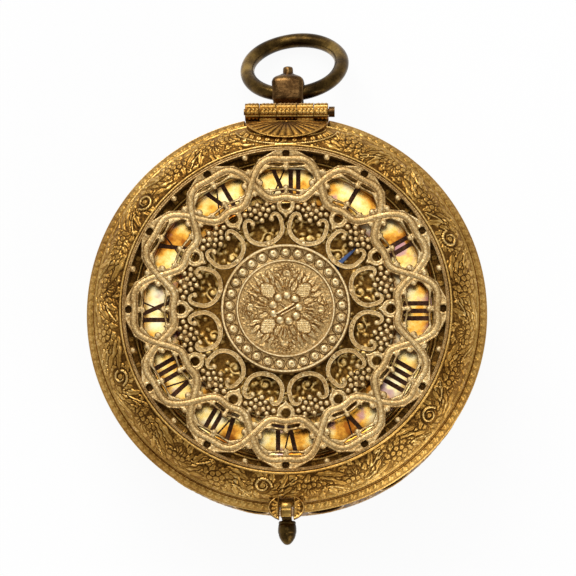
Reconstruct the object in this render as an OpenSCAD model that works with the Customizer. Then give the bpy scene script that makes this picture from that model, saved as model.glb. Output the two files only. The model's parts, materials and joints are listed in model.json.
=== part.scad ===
// Clock watch with a pierced and hinged lid, a striking bell in the case back and a swinging bow.
// The watch lies on its back: the dial faces +Z, the hour XII points to +Y and the hour III to +X.

/* [Case] */
// Radius of the case at the edge of the lid
case_r = 36.4; // [36.2:0.1:36.8]
// Height of the plane where the lid meets the case
lid_z = 24.0; // [24:0.1:24.2]
// Radius of the swelling of the side
bulge_r = 38.0; // [37.6:0.1:38.2]
// Thickness of the side wall
wall = 1.0; // [0.9:0.1:1.1]
// Number of piercings in the side
piercings = 16; // [12:4:16]

/* [Lid] */
// Radius of the round window that the fret fills
fret_r = 30.2; // [30:0.1:30.4]
// Width of the interlaced bands of the fret
band_w = 1.4; // [1.2:0.1:1.5]
// Radius of the row of twelve small holes
hole_row_r = 29.3; // [29.2:0.1:29.4]
// Radius of the raised centre of the lid
medallion_r = 12.3; // [12:0.1:12.5]
// Number of beads around the centre
medallion_beads = 29; // [24:1:30]

/* [Dial] */
// Outer radius of the hour ring
hour_ring_r = 27.6; // [27.4:0.1:27.8]
// Inner radius of the hour ring
hour_ring_in = 20.4; // [20:0.1:20.8]
// Height of an hour numeral
numeral_h = 5; // [4.2:0.1:5.1]
// Where the hand points, in degrees clockwise from XII
hand_angle = 48; // [0:1:90]

/* [Bow] */
// Radius from the middle of the bow to the middle of its wire
bow_r = 9.0; // [8.8:0.1:9.2]
// Thickness of the wire of the bow
bow_wire = 2.75; // [2.5:0.05:2.8]

/* [Wheels] */
// Size of the teeth of the great wheels
great_module = 0.5; // [0.48:0.01:0.5]
// Teeth on a great wheel
great_teeth = 48; // [48]
// Size of the teeth of the quicker wheels
quick_module = 0.42; // [0.42]
// Teeth on a second wheel
second_teeth = 40; // [40]
// Leaves on a pinion
leaves = 8; // [8]
// Teeth on the contrate wheel
contrate_teeth = 36; // [36]
// Teeth on the escape wheel
crown_teeth = 15; // [13:2:15]

/* [Hidden] */
$fn = 64;

gold = "#c9a24c";
pale_gold = "#d3b974";
bright_gold = "#e8b84a";
bronze = "#6e5530";
steel = "#8b9096";
blue_steel = "#31456e";
ink = "#2b1c10";

hour_words = ["XII", "I", "II", "III", "IIII", "V", "VI", "VII", "VIII", "IX", "X", "XI"];
// Widths of the thick and the thin strokes of a numeral, and of a serif
stroke_w = 0.85;
thin_w = 0.3;
serif_w = 1.25;
// Middle radius of the numerals, and half the spread of the strokes of V and X
numeral_r = 24.6;
spread = 1.1;
// Degrees between two points of an interlaced band
wave_step = 3.75;
// Running clearance between a pivot and its hole
run = 0.05;
// Heights of the plates and of what they carry
back_z = 12.9;
back_t = 1.0;
front_z = 22.9;
front_t = 1.2;
inside_z = back_z + back_t;
dial_z = 25.7;
dial_t = 0.7;
ring_t = 0.4;
face_z = dial_z + dial_t;
fret_z = 29.4;
fret_t = 0.9;
under_z = 24.5;
great_z = 18.2;
great_t = 0.8;
second_z = 20.4;
second_t = 0.6;
low_wheel_z = 15.8;
ratchet_z = 12.0;
ratchet_t = 0.8;
square_z = 8.5;
case_in = case_r - wall;
back_plate_r = 31.5;
front_plate_r = 34.9;
pillar_r = 29.2;
pivot = 0.4;

// The hinge, which the lid and the movement share
hinge_y = case_r + 2;
hinge_z = lid_z + 0.6;
knuckle_r = 1.75;
pin_r = 0.6;
case_knuckles = [5.2, 7.85];
lid_knuckles = [2.0, 5.1];
movement_knuckle = 1.9;
ear_top = lid_z - 0.1;
leaf_z = 18.6;
leaf_top = 22.6;

// The pendant and the bow, which lies with its far end on the table
bow_hole = [0, 43.3, 14.5];
bow_side = -0.7;
bow_lean = 46.8;
bow_tilt = 8.6;

// The catch at VI
catch_z = 20.3;
catch_y = -38.7;
catch_end = -34.6;
catch_plate_y = -37.35;
catch_plate_z = 26.6;

// Centres of the wheels, each at its own distance from the one that drives it
great_pitch = great_module * great_teeth / 2;
great_reach = great_pitch + great_module * leaves / 2;
second_pitch = quick_module * second_teeth / 2;
second_reach = second_pitch + quick_module * leaves / 2;
hour_teeth = 42;
hour_leaves = 12;
hour_reach = great_module * (hour_teeth + hour_leaves) / 2;
going_angle = -35;
going_c = polar(hour_reach, going_angle);
second_angle = 70;
second_c = going_c + polar(great_reach, second_angle);
contrate_angle = 130;
contrate_c = second_c + polar(second_reach, contrate_angle);
contrate_r = 6.5;
crown_angle = 150;
crown_z = 18.2;
crown_leaves = 6;
crown_leaf_r = contrate_r * crown_leaves / contrate_teeth;
crown_r = 4.0;
crown_tip = 12.9;
verge_reach = 14.0;
verge_c = contrate_c + polar(verge_reach, crown_angle);
strike_c = [-14.2, -7.74];
pin_angle = 110;
pin_c = strike_c + polar(great_reach, pin_angle);
warning_module = 0.4;
warning_teeth = 36;
warning_angle = 50;
warning_c = pin_c + polar(second_reach, warning_angle);
fly_leaves = 6;
fly_angle = 100;
fly_reach = warning_module * (warning_teeth + fly_leaves) / 2;
fly_c = warning_c + polar(fly_reach, fly_angle);
strike_pins = 8;
strike_pin_row = 6.6;
count_module = 0.22;
count_teeth = 78;
count_angle = -20;
count_reach = count_module * (count_teeth + leaves) / 2;
count_c = pin_c + polar(count_reach, count_angle);
count_z = 11.1;
count_disc_r = 7.6;
hammer_c = [-27, -2];
hammer_head = [-23.7, -16.7];
detent_c = [2, -5];
detent_nib = count_c + polar(count_disc_r + 0.45, -70);
cock_foot = [6.95, 21.6];
balance_z = 9.6;
balance_r = 7.5;

// Plain geometry
function polar(r, a) = [r * cos(a), r * sin(a)];
function clockwise(r, a) = [r * sin(a), r * cos(a)];
function arc(r, a0, a1, n) = [for (i = [0:n]) polar(r, a0 + (a1 - a0) * i / n)];
function ellipse(a, b, t0, t1, n) =
    [for (i = [0:n]) let (t = t0 + (t1 - t0) * i / n) [a * cos(t), b * sin(t)]];
function shifted(points, by) = [for (p = points) p + by];
function flipped(points) = [for (i = [len(points) - 1:-1:0]) points[i]];
function unit(v) = v / norm(v);
function side(v) = [-v[1], v[0]];

// Points at one side of an open path, at the distance w
function beside(path, w) = [
    for (i = [0:len(path) - 1])
        let (a = path[max(i - 1, 0)], b = path[min(i + 1, len(path) - 1)])
        path[i] + side(unit(b - a)) * w
];

module at(p, a = 0) {
    translate([p[0], p[1], 0]) rotate(a) children();
}

module slab(z, t) {
    translate([0, 0, z]) linear_extrude(t) children();
}

module rod(z0, z1, r, fn = 32) {
    translate([0, 0, z0]) cylinder(r = r, h = z1 - z0, $fn = fn);
}

module ribbon(path, w) {
    polygon(concat(beside(path, w / 2), flipped(beside(path, -w / 2))));
}

// A wheel's outline: straight flanks below the pitch circle, rounded points above it
module toothed(n, m, thick = 0.44, add = 0.9, ded = 1.15) {
    r = n * m / 2;
    half = 180 / n * thick;
    polygon([
        for (i = [0:n - 1]) let (a = i * 360 / n)
            each [
                polar(r - ded * m, a - half * 1.05),
                polar(r, a - half),
                polar(r + 0.6 * add * m, a - half * 0.68),
                polar(r + add * m, a - half * 0.25),
                polar(r + add * m, a + half * 0.25),
                polar(r + 0.6 * add * m, a + half * 0.68),
                polar(r, a + half),
                polar(r - ded * m, a + half * 1.05)
            ]
    ]);
}

// A pinion's outline: leaves with radial flanks and short round ends
module leaved(n, m, thick = 0.34, add = 0.55, ded = 1.25) {
    r = n * m / 2;
    half = 180 / n * thick;
    polygon([
        for (i = [0:n - 1]) let (a = i * 360 / n)
            each [
                polar(r - ded * m, a - half * 1.15),
                polar(r, a - half),
                polar(r + 0.7 * add * m, a - half * 0.7),
                polar(r + add * m, a - half * 0.3),
                polar(r + add * m, a + half * 0.3),
                polar(r + 0.7 * add * m, a + half * 0.7),
                polar(r, a + half),
                polar(r - ded * m, a + half * 1.15)
            ]
    ]);
}

// Openings between the arms of a wheel
module between_arms(arms, r0, r1, arm_w) {
    for (i = [0:arms - 1]) {
        a0 = (i + 0.5) * 360 / arms - 180 / arms;
        inner = asin(arm_w / 2 / r0);
        outer = asin(arm_w / 2 / r1);
        step = 360 / arms;
        polygon(concat(
            arc(r0, a0 + inner, a0 + step - inner, 4),
            arc(r1, a0 + step - outer, a0 + outer, 8)
        ));
    }
}

// Case

module case_back() {
    foot = 28.6;
    color(gold) rotate_extrude() polygon(concat(
        [[0, 0]],
        shifted(ellipse(case_r - foot - 0.2, 4, -90, 0, 8), [foot, 4]),
        shifted(ellipse(case_in - foot - 0.2, 2.8, 0, -90, 8), [foot, 4]),
        [[0, 1.2]]
    ));
}

// A leaf-shaped opening in the side
module piercing() {
    w = 3.4;
    h = 4.4;
    polygon([[0, -h], [w * 0.62, -h * 0.62], [w, 0], [w * 0.55, h * 0.5], [w * 0.5, h * 0.8],
        [0, h], [-w * 0.5, h * 0.8], [-w * 0.55, h * 0.5], [-w, 0], [-w * 0.62, -h * 0.62]]);
}

module catch_recess() {
    translate([-1.35, -bulge_r - 1, leaf_z]) cube([2.7, bulge_r + 1 - 36.9, lid_z - leaf_z + 1]);
}

module case_leaf_blank() {
    w = case_knuckles[1];
    translate([-w, case_r + 0.1, leaf_z]) cube([2 * w, 2.2, leaf_top - leaf_z]);
}

module case_band() {
    color(gold) difference() {
        rotate_extrude() polygon([
            [case_in, 4], [case_r - 0.2, 4], [case_r - 0.04, 4.6], [case_r - 0.04, 6.4],
            [36.6, 6.8], [36.6, 19.6], [37.0, 20.2], [bulge_r - 0.6, 21.2], [bulge_r, 22.3],
            [bulge_r - 0.1, 22.9], [bulge_r - 0.9, 23.5], [case_r + 0.1, 23.9], [case_r, lid_z],
            [case_in, lid_z], [case_in, front_z], [33.8, front_z], [33.8, front_z - 0.5],
            [case_in, front_z - 1.6]
        ]);
        for (i = [0:piercings - 1])
            rotate((i + 0.5) * 360 / piercings)
                translate([33, 0, 12.2]) rotate([90, 0, 90]) linear_extrude(6) piercing();
        case_leaf_blank();
        translate([-8, case_r - 0.01, leaf_top - 0.01]) cube([16, 3, 3]);
        translate([-2.1, 33, front_z - 0.15]) cube([4.2, 6, 3]);
        catch_recess();
        translate([0, -case_in + 3, catch_z]) rotate([90, 0, 0])
            cylinder(r = 0.8 + run, h = 6, $fn = 32);
        pendant_stem();
    }
}

module bell() {
    rise = 9.8;
    outer = shifted(ellipse(31.9, rise, -90, 0, 14), [0, 2.2 + rise]);
    inner = shifted(ellipse(31.1, rise - 0.8, 0, -90, 14), [0, 2.2 + rise]);
    color(bright_gold) difference() {
        rotate_extrude() polygon(concat(outer, inner));
        rod(0, 5, 1.1);
    }
}

module bell_stud() {
    color(steel) {
        rod(1.2, 2.2, 2.4);
        rod(2.2, 4.6, 1.1);
    }
}

module bell_nut() {
    color(steel) difference() {
        rod(3.04, 4.0, 2.3, 6);
        rod(2.8, 4.8, 1.1);
    }
}

// The round shank of the pendant, through the side of the case
module pendant_stem() {
    translate([0, case_in - 0.3, bow_hole[2]]) rotate([-90, 0, 0]) cylinder(r = 1.8, h = 3.2, $fn = 48);
}

module pendant() {
    root = 36.9;
    color(bronze) difference() {
        union() {
            pendant_stem();
            translate([0, root, bow_hole[2]]) rotate([-90, 0, 0]) rotate_extrude() polygon([
                [0, 0], [3.1, 0], [3.2, 0.7], [2.5, 1.2], [1.9, 2.0], [2.0, 3.0], [2.9, 4.2],
                [3.35, 5.8], [3.35, 7.4], [3.0, 8.9], [2.1, 10.0], [1.5, 10.5], [0.95, 10.6],
                [0.95, 11.3], [0.5, 11.7], [0, 11.7]
            ]);
        }
        translate(bow_hole) rotate([0, 90, 0]) {
            cylinder(r = 1.75, h = 10, center = true, $fn = 48);
            for (flip = [0, 1]) mirror([0, 0, flip])
                translate([0, 0, 0.3]) cylinder(r1 = 1.75, r2 = 3.0, h = 3.4, $fn = 48);
        }
    }
}

module bow() {
    color(bronze) translate(bow_hole) rotate([0, -bow_tilt, 0]) rotate([-bow_lean, 0, bow_side])
        translate([0, bow_r, 0]) rotate_extrude($fn = 96)
            translate([bow_r, 0]) circle(r = bow_wire / 2, $fn = 32);
}

// Knuckles of the hinge, on both sides, and the hole for its pin
module knuckles(span, hole) {
    difference() {
        union() {
            for (flip = [0, 1]) mirror([flip, 0, 0])
                translate([span[0], hinge_y, hinge_z]) rotate([0, 90, 0])
                    cylinder(r = knuckle_r, h = span[1] - span[0], $fn = 48);
            children();
        }
        translate([0, hinge_y, hinge_z]) rotate([0, 90, 0])
            cylinder(r = hole, h = 20, center = true, $fn = 32);
    }
}

module case_hinge_leaf() {
    color(gold) knuckles(case_knuckles, pin_r) {
        case_leaf_blank();
        for (flip = [0, 1]) mirror([flip, 0, 0])
            translate([case_knuckles[0], case_r + 0.6, leaf_top - 0.2])
                cube([case_knuckles[1] - case_knuckles[0], 2.4, hinge_z - leaf_top + 0.2]);
    }
}

module hinge_pin() {
    color(steel) translate([-8.1, hinge_y, hinge_z]) rotate([0, 90, 0]) {
        cylinder(r = pin_r, h = 16.4, $fn = 32);
        translate([0, 0, 16.1]) cylinder(r = 1.0, h = 1.1, $fn = 32);
    }
}

// A leaf that stands on the side wall and presses on the inner end of the catch
module catch_spring() {
    foot = -case_in + 0.04;
    leaf = catch_end + 0.05;
    color(steel) translate([-1.5, 0, 0]) rotate([90, 0, 90]) linear_extrude(3) polygon([
        [foot, 6], [foot + 0.5, 6], [foot + 0.5, 7.9], [leaf + 0.3, 9.8], [leaf + 0.3, 21.6],
        [leaf, 21.6], [leaf, 9.9], [foot + 0.2, 8.2], [foot, 8.2]
    ]);
}

module catch() {
    color(bronze) {
        translate([0, catch_end, catch_z]) rotate([90, 0, 0])
            cylinder(r = 0.8, h = catch_end - catch_y + 0.5, $fn = 32);
        translate([0, catch_y - 0.4, catch_z]) rotate([90, 0, 0]) rotate_extrude() polygon([
            [0, 0], [0.8, 0], [0.8, 0.7], [1.2, 0.9], [1.75, 1.5], [1.8, 2.3], [1.45, 2.6],
            [1.4, 3.2], [1.0, 4.0], [0.45, 4.5], [0, 4.6]
        ]);
    }
    color(bright_gold) {
        translate([-0.95, catch_y - 0.5, catch_z - 0.8]) cube([1.9, 1.0, 8]);
        slab(catch_z + 7.2, 0.6)
            polygon(shifted(concat([[-1.05, -0.6], [1.05, -0.6]], arc(1.05, 0, 180, 8)), [0, catch_y]));
    }
}

// Lid

module catch_plate_blank(z, t) {
    slab(z, t) translate([0, catch_plate_y]) polygon(ellipse(3.5, 2.55, 0, 345, 23));
}

module catch_slot() {
    translate([-1.35, -39.4, lid_z]) cube([2.7, 3.9, 6]);
}

module lid_rim() {
    seat = fret_r + 0.8;
    color(gold) difference() {
        rotate_extrude() union() {
            polygon(concat(
                [[case_in - 0.1, lid_z + 0.1], [case_r, lid_z + 0.1], [case_r, lid_z + 1.3]],
                shifted(ellipse(7.6, 7.9, 25, 78, 8), [29.5, 22.5]),
                [[seat, fret_z + fret_t], [seat, fret_z], [fret_r + 0.1, fret_z],
                    [fret_r + 0.1, fret_z - 0.6]],
                shifted(ellipse(6.6, 6.9, 78, 28, 7), [29.5, 22.5])
            ));
        }
        catch_plate_blank(catch_plate_z, 5);
        catch_slot();
    }
}

// Distance from the centre to the middle of an interlaced band, at the angle a from the hour
function wave_r(a) = 24.95 + 3.95 * cos(6 * a) + 0.40 * cos(12 * a) - 0.35 * cos(18 * a);
function wave(a) = clockwise(wave_r(a), a);
function wave_edge(shift) = [
    for (a = [0:wave_step:359.9])
        wave(a) + side(unit(wave(a + wave_step) - wave(a - wave_step))) * shift
];

module wave_band(start) {
    rotate(start) difference() {
        polygon(wave_edge(band_w / 2));
        polygon(wave_edge(-band_w / 2));
    }
}

module ball(x, y, r) {
    translate([x, y]) circle(r = r, $fn = 8);
}

// A scroll that opens outward, with both ends curled in
module scroll() {
    half_w = 3.62;
    half_h = 2.95;
    end = 50;
    curl = 0.85;
    main = ellipse(half_w, half_h, -90, end, 9);
    tip = main[9] - polar(curl, end);
    path = concat(main, [for (i = [1:4]) tip + polar(curl, end + i * 46)]);
    for (flip = [0, 1]) mirror([flip, 0]) {
        ribbon(path, 0.85);
        ball(path[13][0], path[13][1], 0.6);
    }
}

// A bunch of grapes between the ends of a scroll
module grapes() {
    for (row = [0:4], i = [0:4 - row])
        rotate(-(i - (4 - row) / 2) * 3.1) ball(0, 19.5 - 0.78 * row, 0.54);
}

// Barbs and scrolls on one side of the line of an hour
module hour_side() {
    ribbon([clockwise(27.9, 9), clockwise(27.3, 6.5), clockwise(27.05, 4.4)], 0.55);
    ribbon([clockwise(22.3, 9), clockwise(22.65, 6), clockwise(22.8, 3.6)], 0.5);
    ribbon([clockwise(19.3, 3.6), clockwise(18.3, 4.4), clockwise(17.4, 5.2)], 0.75);
    rotate(-12.3) ball(0, 24.4, 0.55);
}

// All that stays between the openings of the fret
module tracery() {
    wave_band(0);
    wave_band(30);
    circle(r = medallion_r + 0.3, $fn = 72);
    for (i = [0:11]) rotate(30 * i) {
        translate([0, hole_row_r]) circle(r = 1.45, $fn = 18);
        translate([-0.35, 26.7]) square([0.7, 2]);
        ball(0, 26.7, 0.5);
        ball(0, 22.85, 0.5);
        for (flip = [0, 1]) mirror([flip, 0]) hour_side();
        translate([0, 19.75]) circle(r = 1.55, $fn = 18);
        rotate(15) {
            ball(0, 29.7, 0.6);
            ball(0, 22.5, 1.2);
            ball(0, 21.5, 0.5);
            translate([0, 15.75]) scroll();
            grapes();
        }
    }
}

module lid_fret() {
    color(pale_gold) slab(fret_z, fret_t) difference() {
        circle(r = fret_r + 0.78);
        offset(delta = 0) difference() {
            circle(r = fret_r - 0.1, $fn = 96);
            tracery();
        }
        for (i = [0:11]) rotate(30 * i) {
            translate([0, hole_row_r]) circle(r = 0.65, $fn = 16);
            translate([0, 19.6]) circle(r = 0.85, $fn = 16);
        }
    }
}

// A bead that stands on a plate, with no part of it below the depth of its foot
module bead(r, foot) {
    intersection() {
        sphere(r = r, $fn = 16);
        translate([0, 0, -foot]) cylinder(r = 2 * r, h = 3 * r);
    }
}

module lid_medallion() {
    base = fret_z + fret_t;
    color(pale_gold) {
        translate([0, 0, base]) rotate_extrude() polygon([
            [0, 0], [medallion_r, 0], [medallion_r, 0.6], [11.9, 0.8], [11.6, 0.5], [9.6, 0.5],
            [9.3, 0.9], [8.9, 0.9], [8.6, 0.5], [3.6, 0.6], [3.4, 1.0], [0, 1.0]
        ]);
        for (i = [0:medallion_beads - 1]) rotate(i * 360 / medallion_beads)
            translate([10.65, 0, base + 0.45]) bead(0.75, 0.4);
        for (i = [0:9]) rotate(i * 36) translate([2.5, 0, base + 0.9]) sphere(r = 0.55, $fn = 16);
        for (i = [0:7]) rotate(i * 45) slab(base + 0.5, 0.45)
            polygon([[3.5, 0], [5.0, 1.5], [6.6, 1.7], [8.5, 0], [6.6, -1.7], [5.0, -1.5]]);
    }
}

module lid_hinge_leaf() {
    color(gold) knuckles(lid_knuckles, pin_r + run) {
        intersection() {
            rotate_extrude() polygon(concat(
                shifted(ellipse(8.3, 8.6, 25, 70, 7), [29.5, 22.5]),
                shifted(ellipse(7.6, 7.9, 70, 25, 7), [29.5, 22.5])
            ));
            slab(lid_z, 8) polygon(concat(
                shifted(ellipse(8.1, 4.4, 180, 360, 16), [0, 35.9]), [[8.1, 36.3], [-8.1, 36.3]]));
        }
        for (flip = [0, 1]) mirror([flip, 0, 0])
            translate([lid_knuckles[0], case_r - 0.1, lid_z + 0.7])
                cube([lid_knuckles[1] - lid_knuckles[0], 2.1, 1.6]);
    }
}

module lid_catch_plate() {
    color(gold) difference() {
        catch_plate_blank(catch_plate_z, 0.8);
        catch_slot();
    }
}

// Frame of the movement

module pivots_back(extra = 0) {
    for (c = [second_c, contrate_c, warning_c, fly_c]) at(c) rod(back_z - 1, inside_z + 1, pivot + run);
    at(pin_c) rod(back_z - 1, inside_z + 1, 0.5 + run);
    at(hammer_c) rod(back_z - 1, inside_z + 1, 0.6 + run);
    at(verge_c) rod(back_z - 1, inside_z + 1, 1.1);
    for (c = [going_c, strike_c]) at(c) rod(back_z - 1, inside_z + 1, 0.9 + run);
}

module pivots_front() {
    for (c = [second_c, contrate_c, warning_c, fly_c, pin_c, hammer_c, verge_c])
        at(c) rod(front_z - 1, front_z + front_t + 1, pivot + run);
    for (c = [going_c, strike_c]) at(c) rod(front_z - 1, front_z + front_t + 1, 1.75 + run);
}

function pillar_at(i) = polar(pillar_r, 45 + 90 * i);

module pillar_plate() {
    color(gold) difference() {
        rod(front_z, front_z + front_t, front_plate_r, 96);
        pivots_front();
        for (i = [0:3]) at(pillar_at(i)) rod(front_z - 1, front_z + front_t + 1, 0.8);
        rod(front_z - 1, front_z + front_t + 1, 1.0);
        translate([-movement_knuckle, 33.2, front_z - 1]) cube([2 * movement_knuckle, 4, 4]);
    }
}

module back_plate() {
    color(gold) difference() {
        rod(back_z, inside_z, back_plate_r, 96);
        pivots_back();
        for (i = [0:3]) at(pillar_at(i)) rod(back_z - 1, inside_z + 1, 0.8);
        at(cock_foot) rod(back_z - 1, inside_z + 1, 0.7);
        at(detent_c) rod(back_z - 1, inside_z + 1, 0.6);
    }
}

module pillars() {
    color(gold) for (i = [0:3]) at(pillar_at(i), 45 + 90 * i) difference() {
        union() {
            translate([0, 0, inside_z]) rotate_extrude() polygon([
                [0, 0], [1.6, 0], [1.6, 0.8], [1.0, 1.4], [1.3, 3.6], [0.9, 4.3], [1.4, 4.5],
                [0.9, 4.8], [1.3, 5.6], [1.0, 7.6], [1.6, 8.2], [1.6, 9.0], [0, 9.0]
            ]);
            rod(back_z - 1.1, inside_z + 0.1, 0.8);
            rod(front_z - 0.1, front_z + front_t, 0.8);
        }
        translate([0, 0, back_z - 0.4]) rotate([90, 0, 0])
            cylinder(r = 0.25, h = 4, center = true, $fn = 24);
    }
}

module pillar_pins() {
    color(steel) for (i = [0:3]) at(pillar_at(i), 45 + 90 * i)
        translate([0, 0, back_z - 0.4]) rotate([90, 0, 0])
            cylinder(r = 0.25, h = 2.8, center = true, $fn = 24);
}

module movement_hinge_leaf() {
    color(gold) difference() {
        union() {
            translate([-movement_knuckle, 33.2, front_z])
                cube([2 * movement_knuckle, hinge_y - 33.2, ear_top - front_z]);
            translate([-movement_knuckle, hinge_y, hinge_z]) rotate([0, 90, 0])
                cylinder(r = knuckle_r, h = 2 * movement_knuckle, $fn = 48);
        }
        translate([0, hinge_y, hinge_z]) rotate([0, 90, 0])
            cylinder(r = pin_r + run, h = 20, center = true, $fn = 32);
    }
}

// Dial

module dial_plate() {
    color(gold) difference() {
        union() {
            rod(dial_z, face_z, 33.4, 96);
            for (i = [0:2]) at(polar(30.5, 90 + 120 * i)) rod(front_z + front_t, dial_z + 0.1, 0.9);
        }
        rod(dial_z - 1, face_z + 1, 2.2);
    }
}

module hour_ring() {
    color(bright_gold) translate([0, 0, face_z]) rotate_extrude() polygon([
        [hour_ring_in, 0], [hour_ring_r, 0], [hour_ring_r, ring_t], [hour_ring_r - 0.2, ring_t + 0.1],
        [hour_ring_r - 0.4, ring_t], [hour_ring_in + 0.4, ring_t],
        [hour_ring_in + 0.2, ring_t + 0.1], [hour_ring_in, ring_t]
    ]);
}

// One stroke of a numeral, from the foot to the top
module stroke(x0, x1, w) {
    h = numeral_h / 2;
    polygon([[x0 - w / 2, -h], [x0 + w / 2, -h], [x1 + w / 2, h], [x1 - w / 2, h]]);
}

module serif(x, y, w) {
    translate([x - w / 2, y - 0.12]) square([w, 0.24]);
}

function width_of(letter) = letter == "I" ? 1.42 : 3.1;
function width_to(word, n) = n == 0 ? 0 : width_of(word[n - 1]) + width_to(word, n - 1);

module letter(name) {
    h = numeral_h / 2;
    if (name == "I") {
        stroke(0, 0, stroke_w);
        for (y = [-h + 0.12, h - 0.12]) serif(0, y, serif_w);
    }
    if (name == "V") {
        stroke(0, -spread, stroke_w);
        stroke(0, spread, thin_w);
        for (x = [-spread, spread]) serif(x, h - 0.12, serif_w);
    }
    if (name == "X") {
        stroke(spread, -spread, stroke_w);
        stroke(-spread, spread, thin_w);
        for (x = [-spread, spread], y = [-h + 0.12, h - 0.12]) serif(x, y, serif_w);
    }
}

module hour_numerals() {
    color(ink) slab(face_z + ring_t, 0.1) for (i = [0:11]) {
        word = hour_words[i];
        rotate(-30 * i) translate([-width_to(word, len(word)) / 2, numeral_r])
            for (n = [0:len(word) - 1])
                translate([width_to(word, n) + width_of(word[n]) / 2, 0]) letter(word[n]);
    }
}

module dial_centre() {
    color(bronze) translate([0, 0, face_z]) difference() {
        rod(0, 0.25, hour_ring_in - 0.05, 96);
        rod(-1, 1, 2.2);
    }
}

// Motion work and hand

module hour_stud() {
    color(steel) rod(front_z, 28.4, 1.0);
}

module hour_wheel() {
    color(gold) difference() {
        union() {
            slab(under_z, 0.7) at([0, 0], going_angle) toothed(hour_teeth, great_module);
            rod(under_z, 28.0, 1.7);
        }
        rod(under_z - 1, 29, 1.0 + run);
    }
}

module hour_hand() {
    z = 27.2;
    color(blue_steel) difference() {
        union() {
            rod(z, z + 0.6, 2.9);
            slab(z + 0.05, 0.45) rotate(-hand_angle) union() {
                polygon([[-0.55, 2], [-0.4, 11], [-1.1, 12.2], [-0.45, 13.2], [0, 20.2],
                    [0.45, 13.2], [1.1, 12.2], [0.4, 11], [0.55, 2]]);
                polygon([[-0.5, -2], [-0.4, -5], [-1.2, -6.2], [0, -8.4], [1.2, -6.2], [0.4, -5],
                    [0.5, -2]]);
            }
        }
        rod(z - 1, z + 2, 1.7 + run);
    }
}

module hand_nut() {
    color(steel) difference() {
        translate([0, 0, 28.05]) rotate_extrude()
            polygon([[0, 0], [1.9, 0], [1.9, 0.3], [1.2, 0.7], [0, 0.8]]);
        rod(27, 28.4, 1.0);
    }
}

// Barrels and great wheels, one set for the going train and one for the striking train

module barrel_at(c) {
    color(gold) at(c) difference() {
        rod(14.6, great_z, 9.0);
        rod(15.1, great_z + 1, 8.6);
        rod(14, 16, 0.9 + run);
    }
}

module great_wheel_at(c, face, hour = false) {
    color(gold) at(c) {
        slab(great_z, great_t) difference() {
            rotate(face) toothed(great_teeth, great_module);
            circle(r = 0.9 + run, $fn = 32);
        }
        difference() {
            rod(great_z + great_t, under_z + (hour ? 0 : -0.4), 1.75);
            rod(great_z, under_z + 1, 0.9 + run);
        }
        if (hour) slab(under_z, 0.7) rotate(going_angle + 180 + 180 / hour_leaves) difference() {
            leaved(hour_leaves, great_module);
            circle(r = 0.9 + run, $fn = 32);
        }
    }
}

module mainspring_at(c) {
    turns = 9;
    step = 36;
    path = [for (i = [0:turns * 360 / step]) polar(1.75 + 6.6 * i / (turns * 360 / step), i * step)];
    color(steel) at(c) slab(15.2, 2.8) ribbon(path, 0.2);
}

module barrel_arbor_at(c, top) {
    color(steel) at(c) {
        rod(15.1 + run, great_z - run, 1.6);
        rod(ratchet_z, top, 0.9);
        translate([-0.75, -0.75, square_z]) cube([1.5, 1.5, ratchet_z - square_z]);
    }
}

module ratchet_at(c) {
    n = 18;
    color(steel) at(c) slab(ratchet_z, ratchet_t) difference() {
        polygon([for (i = [0:n - 1]) each [polar(3.5, i * 360 / n), polar(2.9, (i + 0.12) * 360 / n)]]);
        circle(r = 0.9, $fn = 32);
    }
}

module click_at(c, face) {
    color(steel) at(c, face) difference() {
        slab(ratchet_z, ratchet_t - 0.1) polygon([
            [3.62, -0.35], [4.4, -0.5], [6.2, 1.9], [7.0, 2.2], [7.3, 3.2], [6.6, 4.0],
            [5.6, 3.8], [5.2, 2.9]
        ]);
        translate([6.3, 3.1, 0]) rod(0, 20, 0.4 + run);
    }
}

module going_barrel() { barrel_at(going_c); }
module going_great_wheel() { great_wheel_at(going_c, second_angle, true); }
module going_mainspring() { mainspring_at(going_c); }
module going_barrel_arbor() { barrel_arbor_at(going_c, under_z + 0.5); }
module going_ratchet() { ratchet_at(going_c); }
module going_click() { click_at(going_c, -70); }
module strike_barrel() { barrel_at(strike_c); }
module strike_great_wheel() { great_wheel_at(strike_c, pin_angle); }
module strike_mainspring() { mainspring_at(strike_c); }
module strike_barrel_arbor() { barrel_arbor_at(strike_c, front_z + front_t); }
module strike_ratchet() { ratchet_at(strike_c); }
module strike_click() { click_at(strike_c, -150); }

// Going train

module arbor(r, low = 0, high = 0) {
    rod(inside_z + 0.1, front_z - 0.1, r);
    rod(back_z - low, inside_z + 0.2, pivot);
    rod(front_z - 0.2, front_z + front_t + high, pivot);
}

module second_wheel() {
    color(gold) at(second_c) {
        slab(second_z, second_t) difference() {
            rotate(contrate_angle) toothed(second_teeth, quick_module);
            between_arms(4, 2.2, 6.8, 1.0);
        }
        slab(great_z - 0.2, great_t + 0.6)
            rotate(second_angle + 180 + 180 / leaves) leaved(leaves, great_module);
        arbor(0.65);
    }
}

module contrate_wheel() {
    color(gold) at(contrate_c) {
        slab(low_wheel_z, 0.5) difference() {
            circle(r = contrate_r + 0.35, $fn = 48);
            between_arms(4, 2.0, contrate_r - 0.9, 0.9);
        }
        for (i = [0:contrate_teeth - 1]) rotate(crown_angle + i * 360 / contrate_teeth)
            translate([contrate_r - 0.35, -0.16, low_wheel_z + 0.4]) cube([0.65, 0.32, 1.15]);
        slab(second_z - 0.2, 1.0)
            rotate(contrate_angle + 180 + 180 / leaves) leaved(leaves, quick_module);
        arbor(0.6);
    }
}

// Turns what is drawn along +Z so that it lies along the escape wheel's arbor
module along_crown(reach) {
    translate([contrate_c[0], contrate_c[1], crown_z]) rotate([0, 0, crown_angle])
        translate([reach, 0, 0]) rotate([0, 90, 0]) children();
}

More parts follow.
